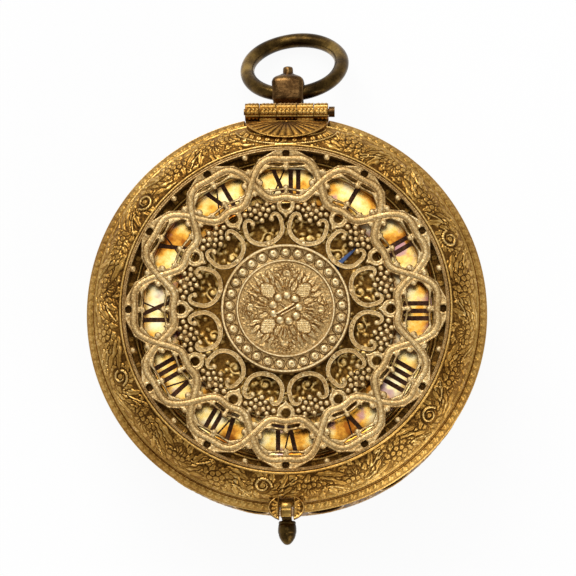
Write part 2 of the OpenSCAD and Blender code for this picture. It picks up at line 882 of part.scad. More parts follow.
module crown_wheel() {
    web = 11.0;
    color(gold) {
        along_crown(web) difference() {
            cylinder(r = crown_r, h = crown_tip - web - 0.9, $fn = 48);
            translate([0, 0, 0.4]) cylinder(r = crown_r - 0.6, h = 3, $fn = 48);
        }
        along_crown(crown_tip - 1.0)
            for (i = [0:crown_teeth - 1]) rotate(i * 360 / crown_teeth)
                translate([crown_r - 0.6, 0, 0]) rotate([90, 0, 90]) linear_extrude(0.5)
                    polygon([[-0.75, 0], [0.75, 0], [0.75, 0.2], [0.62, 1.0], [0.5, 1.0]]);
    }
    color(steel) {
        along_crown(5.1) cylinder(r = 0.5, h = web - 5.0, $fn = 24);
        along_crown(4.4) cylinder(r = 0.3, h = 0.9, $fn = 24);
        along_crown(web + 0.3) cylinder(r = 0.3, h = 2.05, $fn = 24);
        along_crown(contrate_r - 0.45) rotate(180 / crown_leaves) linear_extrude(0.8)
            leaved(crown_leaves, 2 * crown_leaf_r / crown_leaves, 0.3, 0.5, 1.3);
    }
}

// Hangs from the front plate and carries the inner end of the escape wheel's arbor
module crown_bracket() {
    color(gold) difference() {
        translate([contrate_c[0], contrate_c[1], 0]) rotate(crown_angle)
            translate([4.3, -0.9, crown_z - 0.8]) cube([0.7, 1.8, front_z - crown_z + 0.8]);
        along_crown(4) cylinder(r = 0.3 + run, h = 2, $fn = 24);
    }
}

// Stands on the back plate and carries the outer end of the escape wheel's arbor
module potence() {
    color(gold) difference() {
        translate([contrate_c[0], contrate_c[1], 0]) rotate(crown_angle) {
            translate([crown_tip + 0.08, -6.4, inside_z]) cube([2.0, 1.8, crown_z - inside_z + 0.7]);
            translate([crown_tip + 0.08, -6.0, crown_z - 0.7]) cube([0.4, 6.8, 1.4]);
        }
        along_crown(12) cylinder(r = 0.3 + run, h = 3, $fn = 24);
    }
}

module verge() {
    flag = 0.82;
    top = crown_z + crown_r - 0.3;
    color(steel) at(verge_c) {
        rod(balance_z - 1.6, front_z - 0.2, 0.36);
        rod(front_z - 0.3, front_z + front_t, pivot - 0.05);
        for (pallet = [[46, top - 0.9], [-46, crown_z - crown_r + 0.3]])
            rotate(crown_angle + 180 + pallet[0])
                translate([0, -0.12, pallet[1]]) cube([flag, 0.24, 0.9]);
    }
}

module balance_wheel() {
    color(gold) at(verge_c) slab(balance_z, 0.8) difference() {
        circle(r = balance_r, $fn = 96);
        between_arms(3, 1.3, balance_r - 0.9, 0.8);
        circle(r = 0.36, $fn = 32);
    }
}

module balance_cock() {
    cock_z = 7.6;
    cock_t = 0.8;
    reach = norm(cock_foot - verge_c);
    face = atan2(cock_foot[1] - verge_c[1], cock_foot[0] - verge_c[0]);
    color(gold) difference() {
        union() {
            at(verge_c, face) slab(cock_z, cock_t) {
                circle(r = 4.2, $fn = 48);
                polygon([[2, -3.2], [reach, -1.9], [reach, 1.9], [2, 3.2]]);
            }
            at(cock_foot) rod(cock_z, back_z, 1.9);
        }
        at(verge_c) rod(cock_z + 0.2, cock_z + 2, pivot);
        at(verge_c, face) slab(cock_z - 1, 3) between_arms(6, 1.5, 3.5, 0.7);
        at(cock_foot) rod(cock_z - 1, back_z + 1, 0.7);
    }
}

module cock_screw() {
    color(blue_steel) at(cock_foot) difference() {
        union() {
            rod(6.9, 7.6, 1.5);
            rod(7.5, inside_z, 0.7);
        }
        translate([-2, -0.2, 6.5]) cube([4, 0.4, 0.7]);
    }
}

// Striking train

module pin_wheel() {
    color(gold) at(pin_c) {
        slab(second_z, second_t) difference() {
            rotate(warning_angle) toothed(second_teeth, quick_module);
            between_arms(4, 2.2, 5.6, 1.0);
        }
        slab(great_z - 0.2, great_t + 0.6)
            rotate(pin_angle + 180 + 180 / leaves) leaved(leaves, great_module);
        slab(count_z - 0.1, 1.1) rotate(count_angle) leaved(leaves, count_module, 0.34, 0.5, 1.1);
        arbor(0.65);
        rod(count_z - 0.1, inside_z + 0.2, 0.5);
        for (i = [0:strike_pins - 1]) rotate(i * 360 / strike_pins)
            translate([strike_pin_row, 0, 0]) rod(second_z + 0.3, 22.2, 0.35, 24);
    }
}

module warning_wheel() {
    color(gold) at(warning_c) {
        slab(low_wheel_z, 0.6) difference() {
            rotate(fly_angle) toothed(warning_teeth, warning_module);
            between_arms(4, 2.0, 5.4, 0.9);
        }
        slab(second_z - 0.2, 1.0)
            rotate(warning_angle + 180 + 180 / leaves) leaved(leaves, quick_module);
        arbor(0.6);
        translate([5.9, 0, 0]) rod(low_wheel_z + 0.3, 17.6, 0.3, 24);
    }
}

module fly() {
    color(gold) at(fly_c) {
        slab(low_wheel_z - 0.1, 0.9)
            rotate(fly_angle + 180 + 180 / fly_leaves) leaved(fly_leaves, warning_module, 0.32, 0.5, 1.15);
        arbor(0.4);
        translate([-3.6, -0.15, 18]) cube([7.2, 0.3, 3.6]);
    }
}

// Strokes struck by the end of each hour
function strokes(n) = n * (n + 1) / 2;

module count_wheel() {
    color(gold) at(count_c) difference() {
        union() {
            slab(count_z, 0.7)
                rotate(count_angle + 180 + 180 / count_teeth) toothed(count_teeth, count_module);
            slab(count_z - 0.7, 0.8) difference() {
                circle(r = count_disc_r, $fn = 96);
                for (i = [1:12]) rotate(-70 - strokes(i) * 360 / 78)
                    translate([count_disc_r - 0.9, -0.3]) square([2, 0.6]);
            }
        }
        rod(count_z - 2, count_z + 2, 1.0 + run);
        for (i = [0:4]) rotate(72 * i) translate([4.4, 0, 0]) rod(count_z - 2, count_z + 2, 1.7, 12);
    }
}

module strike_detent() {
    away = detent_nib - detent_c;
    color(steel) difference() {
        union() {
            at(detent_c) rod(count_z - 0.7, count_z + 0.5, 1.4);
            at(detent_c, atan2(away[1], away[0])) slab(count_z - 0.6, 0.5) polygon([
                [0, -0.6], [norm(away) + 0.25, -0.3], [norm(away) + 0.25, 0.3], [0, 0.6]]);
        }
        at(detent_c) rod(0, 20, 0.6 + run);
    }
}

module detent_stud() {
    color(steel) {
        at(detent_c) rod(count_z - 0.8, inside_z, 0.6);
        at(detent_c) rod(count_z - 1.3, count_z - 0.75, 1.2);
        at(count_c) rod(count_z - 0.9, back_z, 1.0);
        for (set = [[going_c, -70], [strike_c, -150]])
            at(set[0], set[1]) translate([6.3, 3.1, 0]) rod(ratchet_z - 0.1, back_z, 0.4);
    }
}

module hammer() {
    away = hammer_head - hammer_c;
    tail = pin_c - hammer_c;
    tail_l = norm(tail) - strike_pin_row - 0.5;
    color(steel) {
        at(hammer_c) {
            rod(10.7, front_z - 0.1, 0.6);
            rod(front_z - 0.2, front_z + front_t, pivot);
        }
        at(hammer_c, atan2(tail[1], tail[0])) slab(21.3, 0.8)
            polygon([[0, -0.55], [tail_l, -0.25], [tail_l, 0.25], [0, 0.55]]);
        at(hammer_c, atan2(away[1], away[0])) slab(10.8, 0.8)
            polygon([[-0.9, -0.9], [norm(away), -0.4], [norm(away), 0.4], [-0.9, 0.9]]);
        at(hammer_head) rod(10.6, 12.1, 1.2);
    }
}

module hammer_spring() {
    color(steel) {
        at([-16.5, -24.5]) rod(10.6, back_z, 0.7);
        slab(10.9, 1.2) ribbon([[-16.5, -24.5], [-19.5, -20.5], [-22.2, -14.5], [-24.3, -9.6]], 0.3);
    }
}

case_back();
case_band();
bell();
bell_stud();
bell_nut();
pendant();
bow();
case_hinge_leaf();
hinge_pin();
catch_spring();
catch();
lid_rim();
lid_fret();
lid_medallion();
lid_hinge_leaf();
lid_catch_plate();
movement_hinge_leaf();
pillar_plate();
back_plate();
pillars();
pillar_pins();
dial_plate();
hour_ring();
hour_numerals();
dial_centre();
hour_stud();
hour_wheel();
hour_hand();
hand_nut();
going_barrel();
going_great_wheel();
going_mainspring();
going_barrel_arbor();
going_ratchet();
going_click();
second_wheel();
contrate_wheel();
crown_wheel();
crown_bracket();
potence();
verge();
balance_wheel();
balance_cock();
cock_screw();
strike_barrel();
strike_great_wheel();
strike_mainspring();
strike_barrel_arbor();
strike_ratchet();
strike_click();
pin_wheel();
warning_wheel();
fly();
count_wheel();
strike_detent();
detent_stud();
hammer();
hammer_spring();
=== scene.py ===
import json
import math
import random
import bpy
import bmesh
import numpy as np
from mathutils import Vector, Matrix


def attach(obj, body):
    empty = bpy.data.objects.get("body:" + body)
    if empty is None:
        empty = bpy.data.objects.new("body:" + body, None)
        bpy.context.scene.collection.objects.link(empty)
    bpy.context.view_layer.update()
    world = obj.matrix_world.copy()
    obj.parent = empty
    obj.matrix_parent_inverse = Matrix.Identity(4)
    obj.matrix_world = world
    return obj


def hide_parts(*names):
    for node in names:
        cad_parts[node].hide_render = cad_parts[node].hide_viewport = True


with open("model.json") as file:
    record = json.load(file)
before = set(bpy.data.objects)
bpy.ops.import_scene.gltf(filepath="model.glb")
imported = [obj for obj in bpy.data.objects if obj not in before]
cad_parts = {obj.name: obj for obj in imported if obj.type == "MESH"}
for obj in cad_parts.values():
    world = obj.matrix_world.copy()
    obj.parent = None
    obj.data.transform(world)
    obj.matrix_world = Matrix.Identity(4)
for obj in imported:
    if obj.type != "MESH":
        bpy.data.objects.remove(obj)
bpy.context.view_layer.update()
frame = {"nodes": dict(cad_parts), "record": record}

mm = 0.001
tau = 2 * math.pi


# sockets and nodes, for materials and for geometry

class Wire:  # a socket, so that maths on sockets reads as plain sums
    def __init__(self, bench, socket):
        self.bench = bench
        self.socket = socket

    def math(self, how, *others):
        return self.bench.math(how, self, *others)

    def __add__(self, other):
        return self.math("ADD", other)

    def __sub__(self, other):
        return self.math("SUBTRACT", other)

    def __rsub__(self, other):
        return self.bench.math("SUBTRACT", other, self)

    def __mul__(self, other):
        return self.math("MULTIPLY", other)

    __radd__ = __add__
    __rmul__ = __mul__

    def held(self, low=0.0, high=1.0):
        return self.math("MAXIMUM", low).math("MINIMUM", high)

    def between(self, a, b):  # 0 at a, 1 at b
        return self.bench.add("ShaderNodeMapRange", {"interpolation_type": "SMOOTHSTEP"},
                              {"Value": self, "From Min": a, "From Max": b})


class Bench:  # adds nodes to a tree
    def __init__(self, tree):
        self.tree = tree
        self.tree.nodes.clear()

    def add(self, kind, settings=None, sockets=None, out=0):
        node = self.tree.nodes.new(kind)
        for key, value in (settings or {}).items():
            if key == "stops":
                ramp = node.color_ramp
                while len(ramp.elements) < len(value):
                    ramp.elements.new(0.5)
                for element, (place, colour) in zip(ramp.elements, value):
                    element.position = place
                    element.color = (*colour, 1)
            else:
                setattr(node, key, value)
        for key, value in (sockets or {}).items():
            for one in value if isinstance(value, list) else [value]:
                if isinstance(one, Wire):
                    self.tree.links.new(one.socket, node.inputs[key])
                else:
                    node.inputs[key].default_value = one
        return Wire(self, node.outputs[out]) if node.outputs else None

    def math(self, how, *values):
        return self.add("ShaderNodeMath", {"operation": how}, dict(enumerate(values)))


class Finish(Bench):  # builds one material
    def __init__(self, name):
        self.material = bpy.data.materials.new(name)
        self.material.use_nodes = True
        super().__init__(self.material.node_tree)
        self.coordinates = {}

    def place(self, turn=(0, 0, 0)):  # object coordinates, in millimetres
        if turn not in self.coordinates:
            where = self.add("ShaderNodeTexCoord", out="Object")
            self.coordinates[turn] = self.add("ShaderNodeMapping", {}, {
                "Vector": where, "Scale": (1 / mm, 1 / mm, 1 / mm), "Rotation": turn})
        return self.coordinates[turn]

    def noise(self, scale, detail=3.0, rough=0.55, turn=(0, 0, 0)):
        return self.add("ShaderNodeTexNoise", {}, {"Vector": self.place(turn), "Scale": scale,
                                                   "Detail": detail, "Roughness": rough}, "Fac")

    def brushed(self, scale, detail):  # noise drawn out along one way
        at = self.add("ShaderNodeMapping", {}, {"Vector": self.place(), "Scale": scale})
        return self.add("ShaderNodeTexNoise", {}, {"Vector": at, "Scale": 1.0, "Detail": detail}, "Fac")

    def cells(self, scale, feature="F1"):
        return self.add("ShaderNodeTexVoronoi", {"feature": feature},
                        {"Vector": self.place(), "Scale": scale, "Randomness": 1.0}, "Distance")

    def attribute(self, name):
        return self.add("ShaderNodeAttribute", {"attribute_name": name}, out="Fac")

    def mixed(self, amount, a, b, how="MIX"):
        a, b = ((*c, 1) if isinstance(c, tuple) else c for c in (a, b))
        return self.add("ShaderNodeMix", {"data_type": "RGBA", "blend_type": how}, {0: amount, 6: a, 7: b}, out=2)

    def ramp(self, value, stops):
        return self.add("ShaderNodeValToRGB", {"stops": stops}, {"Fac": value}, "Color")

    def metal(self, colour, roughness, height, depth, metallic=1.0, constants=None):
        normal = self.add("ShaderNodeBump", {}, {
            "Height": height, "Distance": depth * mm, "Strength": 1.0}, "Normal")
        surface = self.add("ShaderNodeBsdfPrincipled", {}, {
            "Base Color": colour, "Roughness": roughness, "Metallic": metallic, **(constants or {}),
            "Normal": normal})
        self.add("ShaderNodeOutputMaterial", {}, {"Surface": surface})
        return self.material


def chasedGilt(name, look):  # gilding over a chased relief: bright on the crests, brown in the grounds, where the relief tone holds patina and painted shade
    b = Finish(name)
    # the relief tone also carries the painted shade and painted highlights that the pieces put in
    relief = b.attribute("relief")
    cloud = b.noise(0.13, 4.0, 0.6)
    speck = b.noise(look["speckScale"], 3.0, 0.75)
    grain = b.cells(look["grain"])
    marks = b.cells(look["grain"] * 0.6, "DISTANCE_TO_EDGE").between(0.02, 0.14)
    surfaceTone = (relief + (speck - 0.5) * look["speck"] + (cloud - 0.5) * look["cloud"]
            - (1 - marks) * look["marks"]).held()
    patch = b.noise(0.055, 3.0, 0.5).between(0.46, 0.66) * look["patches"]
    colour = b.mixed(patch, b.ramp(surfaceTone, look["stops"]), look["blotch"], "MULTIPLY")
    height = speck * 0.5 + (1 - grain.held()) * 0.5
    rough = (look["rough"] + (0.5 - surfaceTone) * 0.22 + (speck - 0.5) * 0.15).held(0.12, 0.9)
    return b.metal(colour, rough, height, look["depth"])


def plainGilt(name, look):  # gilding on a plain piece
    b = Finish(name)
    cloud = b.noise(look["cloudScale"], 4.0, 0.6)
    speck = b.noise(look["speckScale"], 2.0, 0.6)
    surfaceTone = ((cloud - 0.5) * 1.6 + 0.5 + (speck - 0.5) * look["speck"]).held()
    lines = b.brushed(look["brush"], 2.0)
    rough = (look["rough"] + (lines - 0.5) * 0.2 + (0.5 - surfaceTone) * 0.15).held(0.08, 0.9)
    return b.metal(b.ramp(surfaceTone, look["stops"]), rough, lines * 0.6 + speck * 0.4, look["depth"])
# drawing in relief

def spin(r, a):  # a point at radius r, a degrees clockwise from XII
    return np.array([r * math.sin(math.radians(a)), r * math.cos(math.radians(a))])


def bent(*points, steps=6):  # a smooth path through a few points
    p = [np.array(q, float) for q in points]
    p = [2 * p[0] - p[1], *p, 2 * p[-1] - p[-2]]
    path = []
    for a, b, c, d in zip(p, p[1:], p[2:], p[3:]):
        for t in np.arange(steps) / steps:
            path.append(0.5 * (2 * b + (c - a) * t + (2 * a - 5 * b + 4 * c - d) * t**2
                               + (3 * b - a - 3 * c + d) * t**3))
    return np.array([*path, p[-2]])


def volute(centre, r0, r1, a0, turns, steps=10):  # a spiral, from outside in
    n = max(4, int(abs(turns) * steps))
    t = np.arange(n + 1) / n
    r = r0 + (r1 - r0) * t**0.8
    a = math.radians(a0) + tau * turns * t
    return np.stack([centre[0] + r * np.cos(a), centre[1] + r * np.sin(a)], 1)


class Sheet:  # a height map in millimetres, which punches and gravers shape
    def __init__(self, length, width, step, wraps=False, corner=(0, 0)):
        self.nx = int(round(length / step))
        self.ny = int(round(width / step)) + 1
        self.dx, self.dy = length / self.nx, width / (self.ny - 1)
        self.length, self.width, self.wraps, self.corner = length, width, wraps, corner
        self.high = np.zeros((self.ny, self.nx + (0 if wraps else 1)))
        self.groove = 0.0  # depth of the line cut round every shape

    def window(self, low, high):
        (x0, y0), (x1, y1) = np.subtract(low, self.corner), np.subtract(high, self.corner)
        i = np.arange(math.floor(x0 / self.dx), math.ceil(x1 / self.dx) + 1)
        j = np.arange(max(0, math.floor(y0 / self.dy)), min(self.ny - 1, math.ceil(y1 / self.dy)) + 1)
        if not self.wraps:
            i = i[(i >= 0) & (i <= self.nx)]
        x, y = i * self.dx + self.corner[0], j * self.dy + self.corner[1]
        return np.ix_(j, i % self.nx if self.wraps else i), x[None, :], y[:, None]

    def lift(self, spot, height, near=None):
        if self.groove and near is not None:
            self.high[spot] = np.where(near, np.minimum(self.high[spot], -self.groove), self.high[spot])
        self.high[spot] = np.maximum(self.high[spot], height)

    def stem(self, path, width, height):  # a rounded strand along a path
        path = np.asarray(path, float)
        widths = np.broadcast_to(width, len(path)) / 2
        line = 0.2 if self.groove else 0.0
        for p, q, a, b in zip(path, path[1:], widths, widths[1:]):
            w = max(a, b) + line
            spot, x, y = self.window(np.minimum(p, q) - w, np.maximum(p, q) + w)
            d = q - p
            t = np.clip(((x - p[0]) * d[0] + (y - p[1]) * d[1]) / max(d @ d, 1e-9), 0, 1)
            half = np.maximum(a + (b - a) * t, 1e-6)
            away = np.hypot(x - p[0] - t * d[0], y - p[1] - t * d[1])
            crest = height * np.clip(1 - (away / half)**2, 0, 1)**0.5
            old = self.high[spot]
            self.lift(spot, crest, (away < half + line) & (old < 0.75 * height))

    def berry(self, x0, y0, r, height, eye=0.0):  # a bead, or a rosette with a hollow eye
        reach = r + 0.2
        spot, x, y = self.window((x0 - reach, y0 - reach), (x0 + reach, y0 + reach))
        d = np.hypot(x - x0, y - y0) / r
        h = height * np.clip(1 - d**2, 0, 1)**0.5
        if eye:
            h *= 1 - 0.85 * np.exp(-(d / eye)**2) + 0.3 * np.exp(-(d / (eye * 0.45))**2)
        self.lift(spot, h, d * r < reach)

    def leaf(self, x0, y0, turn, length, width, height, lobes=4, curl=0.0):
        reach = length + width
        spot, x, y = self.window((x0 - reach, y0 - reach), (x0 + reach, y0 + reach))
        c, s = math.cos(turn), math.sin(turn)
        u = ((x - x0) * c + (y - y0) * s) / length
        v = (-(x - x0) * s + (y - y0) * c) - curl * length * u**2
        inside = (u > 0) & (u < 1)
        u = np.clip(u, 0, 1)
        half = width / 2 * np.sin(math.pi * u**0.75) * (1 + 0.22 * np.sin(math.pi * lobes * u * 2)) + 1e-4
        across = np.abs(v) / half
        h = height * np.clip(1 - across**2, 0, 1)**0.4 * (0.6 + 0.4 * np.sin(math.pi * u**0.6))
        h *= 1 - 0.55 * np.exp(-(v / (0.07 * width + 0.05))**2)
        h *= 1 - 0.28 * (np.sin(math.pi * (lobes * 2 * u - 2.2 * across)) > 0.55) * (across > 0.2)
        self.lift(spot, np.where(inside, h, 0), inside & (np.abs(v) < half + 0.2))

    def pit(self, seed, size, depth):  # an uneven, punched ground
        rng = np.random.default_rng(seed)
        for scale, share in ((size, 0.6), (size * 2.3, 0.4)):
            ny, nx = max(2, int(self.width / scale)), max(2, int(self.length / scale))
            grid = rng.random((ny + 1, nx))
            grid = np.concatenate([grid, grid[:, :1]], 1)
            y = np.linspace(0, ny, self.high.shape[0])
            x = np.linspace(0, nx, self.high.shape[1])
            j, i = np.minimum(y.astype(int), ny - 1), np.minimum(x.astype(int), nx - 1)
            fy, fx = (y - j)[:, None], (x - i)[None, :]
            fy, fx = fy * fy * (3 - 2 * fy), fx * fx * (3 - 2 * fx)
            smooth = (grid[np.ix_(j, i)] * (1 - fy) * (1 - fx) + grid[np.ix_(j + 1, i)] * fy * (1 - fx)
                      + grid[np.ix_(j, i + 1)] * (1 - fy) * fx + grid[np.ix_(j + 1, i + 1)] * fy * fx)
            self.high += (smooth - 0.5) * depth * share

    def band(self, y0, width, height):  # a raised line all along
        y = self.corner[1] + np.arange(self.ny)[:, None] * self.dy
        line = height * np.clip(1 - ((y - y0) / (width / 2))**2, 0, 1)**0.5
        self.high = np.maximum(self.high, line + 0 * self.high)

    def blurred(self, reach):
        n = max(1, int(reach / self.dx))
        h = self.high
        for axis in (0, 1):
            mode = "wrap" if self.wraps and axis == 1 else "edge"
            pad = [(n, n) if k == axis else (0, 0) for k in (0, 1)]
            total = np.cumsum(np.pad(h, pad, mode=mode), axis)
            total = np.concatenate([np.zeros_like(np.take(total, [0], axis)), total], axis)
            size = h.shape[axis]
            h = (np.take(total, np.arange(size) + 2 * n + 1, axis)
                 - np.take(total, np.arange(size), axis)) / (2 * n + 1)
        return h

    def surfaceTone(self, full):  # 0 in the grounds and creases, where it stands for patina and painted shade, 1 on the crests
        return np.clip(0.62 * self.high / full + 0.5 * (self.high - self.blurred(0.7)) / full + 0.28, 0, 1)

    def at(self, field, x, y):
        fx = (np.asarray(x) - self.corner[0]) / self.dx
        fy = np.clip((np.asarray(y) - self.corner[1]) / self.dy, 0, self.ny - 1.001)
        if not self.wraps:
            fx = np.clip(fx, 0, self.nx - 0.001)
        i, j = np.floor(fx).astype(int), np.floor(fy).astype(int)
        fx, fy = fx - i, fy - j
        i0, i1 = (i % self.nx, (i + 1) % self.nx) if self.wraps else (i, i + 1)
        return (field[j, i0] * (1 - fx) * (1 - fy) + field[j, i1] * fx * (1 - fy)
                + field[j + 1, i0] * (1 - fx) * fy + field[j + 1, i1] * fx * fy)


# meshes

def piece(name, points, faces, body, finish, hides=(), relief=None, smooth=True):
    mesh = bpy.data.meshes.new(name)
    mesh.from_pydata((np.asarray(points, float) * mm).tolist(), [], faces)
    if relief is not None:
        mesh.attributes.new("relief", "FLOAT", "POINT").data.foreach_set(
            "value", np.asarray(relief, np.float32).ravel())
    mesh.polygons.foreach_set("use_smooth", [smooth] * len(mesh.polygons))
    mesh.materials.append(finish)
    thing = bpy.data.objects.new(name, mesh)
    bpy.context.scene.collection.objects.link(thing)
    return settle(thing, body, hides)


def settle(thing, body, hides=()):  # gives a finished piece sharp edges and its body, and hides the CAD pieces it replaces
    if body:
        thing.data.set_sharp_from_angle(angle=math.radians(48))
        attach(thing, body)
        if hides:
            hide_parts(*hides)
    return thing


def applied(thing, modifier):  # keeps the result of a modifier as a plain mesh
    bpy.context.view_layer.update()
    mesh = bpy.data.meshes.new_from_object(thing.evaluated_get(bpy.context.evaluated_depsgraph_get()))
    thing.modifiers.remove(modifier)
    old, thing.data = thing.data, mesh
    bpy.data.meshes.remove(old)
    mesh.name = thing.name
    return thing


def facedOut(thing, near=0.0):  # turns all faces outward, once points nearer than this are merged
    mesh = bmesh.new()
    mesh.from_mesh(thing.data)
    if near:
        bmesh.ops.remove_doubles(mesh, verts=mesh.verts, dist=near)
    bmesh.ops.recalc_face_normals(mesh, faces=mesh.faces)
    mesh.to_mesh(thing.data)
    mesh.free()


def quads(rows, cols, aroundCols=True, aroundRows=False, first=0):
    j, i = np.meshgrid(np.arange(rows if aroundRows else rows - 1),
                       np.arange(cols if aroundCols else cols - 1), indexing="ij")
    j1, i1 = (j + 1) % rows, (i + 1) % cols
    return (first + np.stack([j * cols + i, j * cols + i1, j1 * cols + i1, j1 * cols + i], -1)
            ).reshape(-1, 4).tolist()


def caps(rows, cols):  # a face on the first ring and one on the last
    return [list(range(cols))[::-1], list(range((rows - 1) * cols, rows * cols))]


def resampled(profile, step):  # the same line, with points at even distances
    p = np.asarray(profile, float)
    run = np.concatenate([[0], np.cumsum(np.hypot(*np.diff(p, axis=0).T))])
    n = int(round(run[-1] / step)) + 1
    s = np.linspace(0, run[-1], n)
    return np.stack([np.interp(s, run, p[:, 0]), np.interp(s, run, p[:, 1])], 1)


def outward(profile):  # unit normals of a line of (r, z), to the left of its direction
    d = np.gradient(np.asarray(profile, float), axis=0)
    d /= np.maximum(np.hypot(d[:, 0], d[:, 1]), 1e-9)[:, None]
    return np.stack([-d[:, 1], d[:, 0]], 1)


def oval(cx, cz, a, b, t0, t1, n=24):
    t = np.radians(np.linspace(t0, t1, n))
    return np.stack([cx + a * np.cos(t), cz + b * np.sin(t)], 1)


def reliefRing(name, line, inside, sheet, full, body, finish, hides=()):
    # a closed ring: a line of (r, z) with the sheet pressed into it, and a plain line behind
    front = resampled(line, sheet.width / (sheet.ny - 1))[:sheet.ny]
    cols = sheet.high.shape[1]
    back = np.asarray(inside, float)
    rows = np.concatenate([front, back])
    normals = outward(front)
    angle = tau * np.arange(cols) / cols
    r, z = (rows[:, k, None] + np.zeros(cols) for k in (0, 1))
    r[:sheet.ny] += normals[:, 0, None] * sheet.high
    z[:sheet.ny] += normals[:, 1, None] * sheet.high
    points = np.stack([r * np.sin(angle), r * np.cos(angle), z], -1).reshape(-1, 3)
    relief = np.zeros((len(rows), cols)) + 0.25
    relief[:sheet.ny] = sheet.surfaceTone(full)
    return piece(name, points, quads(len(rows), cols, aroundRows=True), body, finish,
                 hides, relief)


def pressIn(thing, share):  # moves points towards the axis, to a share of their distance
    xyz = np.empty(len(thing.data.vertices) * 3, np.float32)
    thing.data.vertices.foreach_get("co", xyz)
    p = xyz.reshape(-1, 3) / mm
    p[:, :2] *= np.minimum(1, share(*p.T))[:, None]
    thing.data.vertices.foreach_set("co", (p * mm).astype(np.float32).ravel())


def brightenTone(thing, share):  # makes a piece's tone brighter by a share that may differ from point to point
    tone = np.empty(len(thing.data.vertices))
    place = np.empty(len(tone) * 3)
    held = thing.data.attributes["relief"].data
    held.foreach_get("value", tone)
    thing.data.vertices.foreach_get("co", place)
    x, y, z = place.reshape(-1, 3).T / mm
    held.foreach_set("value", 1 - (1 - tone) * (1 - share(x, y, z)))


def turned(profile, cols, x=0, y=0):  # the points of a line of (r, z) turned round an upright axis
    angle = tau * np.arange(cols) / cols
    r, z = (np.asarray(profile, float)[:, k, None] for k in (0, 1))
    return np.stack([x + r * np.sin(angle), y + r * np.cos(angle), z + 0 * angle], -1).reshape(-1, 3)


def lathe(name, rows, body, finish, cols=192):
    points = turned(rows, cols)
    return piece(name, points, quads(len(rows), cols, aroundRows=True), body, finish, (),
                 np.full(len(points), 0.7))


class Plate:  # a pierced sheet on a grid: metal wherever its field is above zero
    def __init__(self, u, v, flat=lambda u, v: (u, v), turns=(0,)):
        self.u, self.v = np.meshgrid(u, v)
        self.x, self.y = flat(self.u, self.v)
        self.turns = turns
        self.solid = np.full(self.x.shape, -9.0)

    def inside(self, path, width, mirror=True):  # how deep the grid lies inside a strand
        path = np.asarray(path, float)
        half = np.broadcast_to(width, len(path)) / 2
        deep = np.full(self.x.shape, -9.0)
        for turn in self.turns:
            c, s = math.cos(turn), math.sin(turn)
            for flip in (1, -1) if mirror else (1,):
                x, y = path[:, 0] * flip, path[:, 1]
                line = np.stack([x * c + y * s, y * c - x * s], 1)
                for p, q, a, b in zip(line, line[1:], half, half[1:]):
                    d = q - p
                    t = np.clip(((self.x - p[0]) * d[0] + (self.y - p[1]) * d[1]) / max(d @ d, 1e-9), 0, 1)
                    deep = np.maximum(deep, a + (b - a) * t
                                      - np.hypot(self.x - p[0] - t * d[0], self.y - p[1] - t * d[1]))
        return deep

    def strand(self, path, width, mirror=True):
        self.solid = np.maximum(self.solid, self.inside(path, width, mirror))

    def opening(self, path, width):
        self.solid = np.minimum(self.solid, -self.inside(path, width))

    def skin(self, top, bottom, tone, seams=False):
        # points, faces and tones of the sheet; no wall on its first and last columns if it has seams
        field = np.where(np.abs(self.solid) < 0.01, 0.01, self.solid)
        rows, cols = field.shape
        number, spots = {}, []

        def vertex(a, b):  # a grid point, or the crossing between two of them
            key = (a, b) if a <= b else (b, a)
            if key not in number:
                number[key] = len(spots)
                a, b = key
                spots.append((*a, *b, 0.0 if a == b else field[a] / (field[a] - field[b])))
            return number[key]

        faces = []
        for j in range(rows - 1):
            for i in range(cols - 1):
                corners = ((j, i), (j, i + 1), (j + 1, i + 1), (j + 1, i))
                if max(field[c] for c in corners) > 0:
                    face = []
                    for a, b in zip(corners, corners[1:] + corners[:1]):
                        if field[a] > 0:
                            face.append(vertex(a, a))
                        if (field[a] > 0) != (field[b] > 0):
                            face.append(vertex(a, b))
                    faces.append(face)
        j0, i0, j1, i1 = (np.array([s[k] for s in spots]) for k in range(4))
        t = np.array([s[4] for s in spots])
        n = len(spots)
        side = (i0 == i1) & ((i0 == 0) | (i0 == cols - 1)) if seams else np.zeros(n, bool)
        edges = {(p, q) for face in faces for p, q in zip(face, face[1:] + face[:1])}
        rims = [(p, q) for p, q in sorted(edges) if (q, p) not in edges and not (side[p] and side[q])]
        t3 = t[:, None]
        points = np.concatenate([layer[j0, i0] * (1 - t3) + layer[j1, i1] * t3 for layer in (top, bottom)])
        tones = tone[j0, i0] * (1 - t) + tone[j1, i1] * t
        faces += [[p + n for p in face[::-1]] for face in faces] + [[q, p, p + n, q + n] for p, q in rims]
        # the underside gets half the tone, so undersides and walls carry painted shade
        return points, faces, np.concatenate([tones, tones * 0.5])


